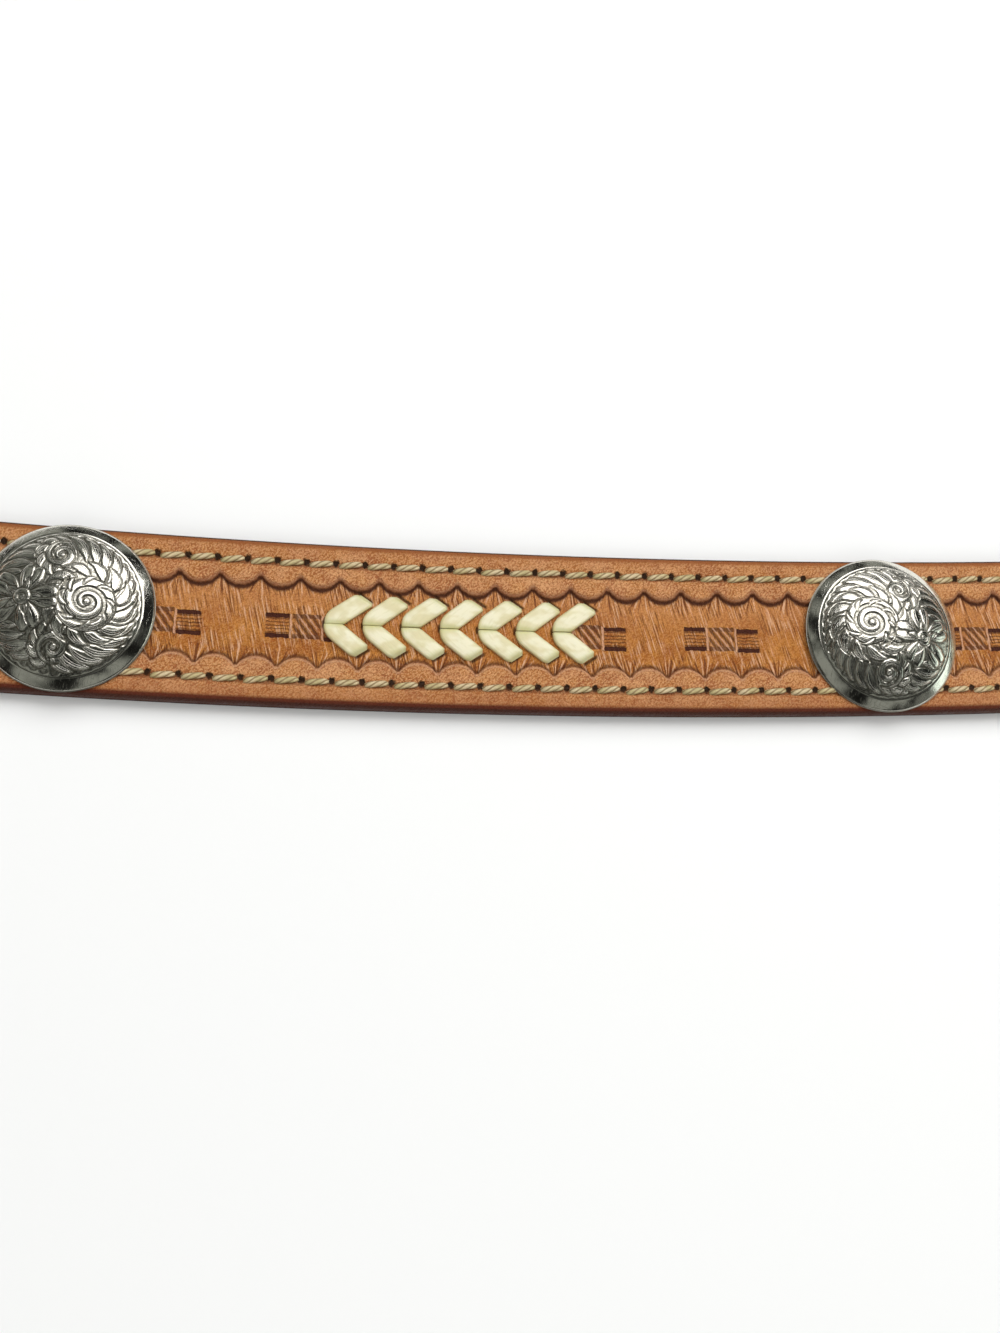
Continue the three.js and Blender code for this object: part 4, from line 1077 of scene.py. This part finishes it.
def conchos():
    """Five engraved domes on the same pattern, each turned its own way, closed below with foot and post."""
    metal = metal_material("concho_metal", (0.82, 0.79, 0.71), 0.10, 0.5, engraved=True)
    count = 200
    u, v, height, marks = concho_pattern(count)
    index = np.arange(count * count).reshape(count, count)
    top = np.stack([index[:-1, :-1], index[1:, :-1], index[1:, 1:], index[:-1, 1:]], -1).reshape(-1, 4)
    border = np.concatenate([index[:-1, 0], index[-1, :-1], index[:0:-1, -1], index[0, :0:-1]])
    turn = np.arctan2(v.ravel()[border], u.ravel()[border])
    rings = [(19.0, 5.35), (18.9, 4.98), (18.65, 4.85), (18.0, 4.85), (17.9, 5.4), (12.0, 8.6), (6.0, 10.4),
             (3.0, 10.8), (3.0, 1.9)]
    edge = len(border)
    for k, s in enumerate(CONCHOS):
        spin = CONCHO_TURNS[k] + s / LAY_RADIUS
        x = np.concatenate([u.ravel()] + [r * np.cos(turn) for r, z in rings])
        y = np.concatenate([v.ravel()] + [r * np.sin(turn) for r, z in rings])
        z = np.concatenate([height.ravel()] + [np.full(edge, z) for r, z in rings]) * MM
        middle = lay(s, 0, 0)
        places = np.stack([middle[0] + (x * math.cos(spin) - y * math.sin(spin)) * MM,
                           middle[1] + (x * math.sin(spin) + y * math.cos(spin)) * MM, z], -1)
        faces = top.tolist()
        above = border
        for r in range(len(rings)):
            below = count * count + r * edge + np.arange(edge)
            faces += np.stack([above, below, np.roll(below, -1), np.roll(above, -1)], -1).tolist()
            above = below
        faces.append(above.tolist())
        piece = mesh_object(f"engraved_concho_{k + 1}", places, faces, metal)
        outward(piece)
        for label, values in marks.items():
            # the side rings, foot and underside get painted shade
            below = 0.9 if label == "cut" else 0.0
            point_value(piece, label, np.concatenate([values.ravel(), np.full(edge * len(rings), below)]))
        hand_in(piece, "concho_metal", f"concho_{k + 1}")


# Screws and buckle

def screws():
    """The slotted heads that close the posts from below, sunk into the lining."""
    steel = metal_material("screw_metal", (0.62, 0.61, 0.58), 0.25, 1.0)
    for k, s in enumerate(CONCHOS):
        profile = [(1.5, 6.3), (1.5, 1.3), (4.7, 1.3), (5.0, 1.15), (5.0, 0.45), (4.75, 0.2)]
        ring, faces = lathe(profile, 56)
        middle = lay(s, 0, 0)
        head = mesh_object(f"slotted_screw_{k + 1}", ring * MM + middle, faces, steel)
        outward(head)
        turn = 0.7 * k
        corners = [(x, y, z) for x in (-6, 6) for y in (-0.55, 0.55) for z in (-0.5, 0.75)]
        box = [(middle[0] + (x * math.cos(turn) - y * math.sin(turn)) * MM,
                middle[1] + (x * math.sin(turn) + y * math.cos(turn)) * MM, z * MM) for x, y, z in corners]
        blade = mesh_object("blade", box, [(0, 1, 3, 2), (4, 6, 7, 5), (0, 4, 5, 1), (2, 3, 7, 6), (0, 2, 6, 4),
                                           (1, 5, 7, 3)], steel, sharp=True)
        outward(blade)
        cut = head.modifiers.new("slot", "BOOLEAN")
        cut.operation, cut.solver, cut.object = "DIFFERENCE", "EXACT", blade
        fresh(head)
        bpy.data.objects.remove(blade)
        hand_in(head, "screw_metal", f"concho_screw_{k + 1}")


PLATE_LENGTH, PLATE_WIDTH, PLATE_THICKNESS, PLATE_CROWN, PLATE_CORNER = 64.0, 52.0, 2.0, 1.2, 14.0
PLATE_OVERLAP, PLATE_BACK, HOOK_REACH = 12.0, 6.7, 42.0


def rounded_ring(inset, count=24):
    """Points round a rectangle with rounded corners, set in from the plate's edge."""
    corner = max(PLATE_CORNER - inset, 0.4)
    long, wide = PLATE_LENGTH / 2 - inset - corner, PLATE_WIDTH / 2 - inset - corner
    ring = []
    for k, (x, y) in enumerate(((1, 1), (-1, 1), (-1, -1), (1, -1))):
        turn = np.linspace(0, math.pi / 2, count) + k * math.pi / 2
        ring.append(np.stack([x * long + corner * np.cos(turn), y * wide + corner * np.sin(turn)], -1))
    return np.concatenate(ring)


def buckle():
    """A plain crowned plate with its loop bar, two arms and the hook under it."""
    metal = metal_material("buckle_metal", (0.78, 0.77, 0.73), 0.24, 0.35)
    solids = []

    def add(points, faces):
        solids.append((np.asarray(points, float), faces))

    levels = [(24.5, 0.0), (1.0, 0.0), (0.35, 0.12), (0.08, 0.4), (0.0, 0.8), (0.08, 1.3), (0.35, 1.75), (0.8, 2.0)]
    levels += [(inset, 2.0 + PLATE_CROWN * smooth(inset, -2.0, 16.0)) for inset in (1.5, 2.5, 4, 6, 8.5, 11, 14, 18, 22)]
    levels.append((24.5, 2.0 + PLATE_CROWN))
    ring = [np.column_stack([rounded_ring(inset), np.full(96, PLATE_BACK + z)]) for inset, z in levels]
    ring = np.concatenate(ring)
    ring[:, 0] += PLATE_OVERLAP - PLATE_LENGTH / 2
    faces = tube_faces(len(levels), 96).tolist()
    faces += [list(range(96)), list(range(len(ring) - 1, len(ring) - 97, -1))]
    add(ring, faces)
    reach = HALF_WIDTH + 0.9
    turn = np.arange(32) * 2 * math.pi / 32
    for radius, ends in ((1.6, (-reach - 1.3, reach + 1.3)),):
        rows = [(radius * 0.8, ends[0]), (radius, ends[0] + 0.3), (radius, ends[1] - 0.3), (radius * 0.8, ends[1])]
        bar = np.concatenate([np.stack([r * np.cos(turn), np.full(32, y), BAR_Z + r * np.sin(turn)], -1)
                              for r, y in rows])
        add(bar, tube_faces(4, 32).tolist() + [list(range(32)), list(range(127, 95, -1))])
    for side in (-1, 1):
        arm = []
        for z, grow in ((BAR_Z - 1.6, 0.6), (BAR_Z - 1.2, 0.15), (BAR_Z - 0.5, 0.0), (PLATE_BACK, 0.0),
                        (PLATE_BACK + 1.0, 0.0)):
            a = 2.0 - grow * 0.8
            b = 1.3 - grow * 0.5
            power = np.sign(np.cos(turn)) * np.abs(np.cos(turn)) ** 0.35
            cross = np.sign(np.sin(turn)) * np.abs(np.sin(turn)) ** 0.35
            arm.append(np.stack([a * power, side * (reach + 1.3) + b * cross, np.full(32, z)], -1))
        add(np.concatenate(arm), tube_faces(5, 32).tolist() + [list(range(32)), list(range(159, 127, -1))])
    hook = []
    for z, radius in ((PLATE_BACK - 5.0, 0.7), (PLATE_BACK - 4.85, 1.2), (PLATE_BACK - 4.4, 1.55),
                      (PLATE_BACK - 2.0, 1.8), (PLATE_BACK - 0.4, 2.1), (PLATE_BACK, 2.6), (PLATE_BACK + 1, 2.8)):
        lean = -HOOK_REACH - 1.6 * (PLATE_BACK - z) / 5.0
        hook.append(np.stack([lean + radius * np.cos(turn), radius * np.sin(turn), np.full(32, z)], -1))
    add(np.concatenate(hook), tube_faces(7, 32).tolist() + [list(range(32)), list(range(223, 191, -1))])
    places, faces = [], []
    for points, sides in solids:
        base = sum(len(p) for p in places)
        faces += [[base + i for i in side] for side in sides]
        places.append(points)
    local = np.concatenate(places)
    spin, middle = BAR_S / LAY_RADIUS, lay(BAR_S, 0, 0)
    placed = np.stack([middle[0] + (local[:, 0] * math.cos(spin) - local[:, 1] * math.sin(spin)) * MM,
                       middle[1] + (local[:, 0] * math.sin(spin) + local[:, 1] * math.cos(spin)) * MM,
                       local[:, 2] * MM], -1)
    piece = mesh_object("plate_buckle", placed, faces, metal)
    outward(piece)
    hand_in(piece, "buckle_metal", "buckle")


strap_face(strap_material())
strap_lining(lining_material())
stitching()
laces()
conchos()
screws()
buckle()


# Table and light

def table_top():
    size = 3.0
    floor = mesh_object("table", [(-size, -size, 0), (size, -size, 0), (size, size, 0), (-size, size, 0)],
                        [(0, 1, 2, 3)])
    made, tree, surface = material("table", (0.92, 0.92, 0.915))
    surface["Roughness"].default_value = 0.8
    surface["Specular IOR Level"].default_value = 0.2
    floor.data.materials.append(made)


def lamp(name, place, aim, size, power, colour=(1, 1, 1), shine=True):
    data = bpy.data.lights.new(name, "AREA")
    data.shape = "RECTANGLE"
    data.size, data.size_y = size
    data.energy = power
    data.color = colour
    made = bpy.data.objects.new(name, data)
    bpy.context.scene.collection.objects.link(made)
    made.location = place
    made.visible_glossy = shine
    back = -(np.array(aim) - np.array(place))
    made.rotation_mode = "QUATERNION"
    made.rotation_quaternion = Vector(back).to_track_quat("Z", "Y")


def room():
    """A dim room with soft patches of light and dark, which the polished metal mirrors; seen straight it is pale."""
    world = bpy.data.worlds.new("soft_room")
    bpy.context.scene.world = world
    world.use_nodes = True
    tree = world.node_tree
    way = put(tree, "ShaderNodeTexCoord").outputs["Generated"]
    patches = noise(tree, way, 3.1, 2.0, dimensions="3D")
    light = colour_mix(tree, step(tree, patches, 0.44, 0.62), (0.012, 0.012, 0.011), (0.42, 0.44, 0.40))
    light = colour_mix(tree, put(tree, "ShaderNodeLightPath").outputs["Is Camera Ray"], light, (1.0, 1.0, 1.0))
    tree.links.new(light, tree.nodes["Background"].inputs[0])
    tree.nodes["Background"].inputs[1].default_value = 0.6


table_top()
lamp("softbox", (0.24, 0.55, 0.86), (0.14, 0, 0), (1.08, 0.92), 7.8)
lamp("high_window", (-0.45, 0.75, 1.25), (-0.1, 0, 0), (1.2, 1.0), 5, shine=False)
lamp("ceiling", (0.0, -0.3, 1.7), (0.0, -0.15, 0), (2.6, 2.6), 18, shine=False)
lamp("front_fill", (0.0, -1.1, 0.7), (0.0, 0.0, 0), (1.8, 0.8), 4, shine=False)
lamp("side_panel", (0.85, -0.12, 0.20), (0, 0, 0), (0.5, 0.25), 0.45, (0.86, 1.0, 0.93))
room()
bpy.context.scene.view_settings.view_transform = "Standard"
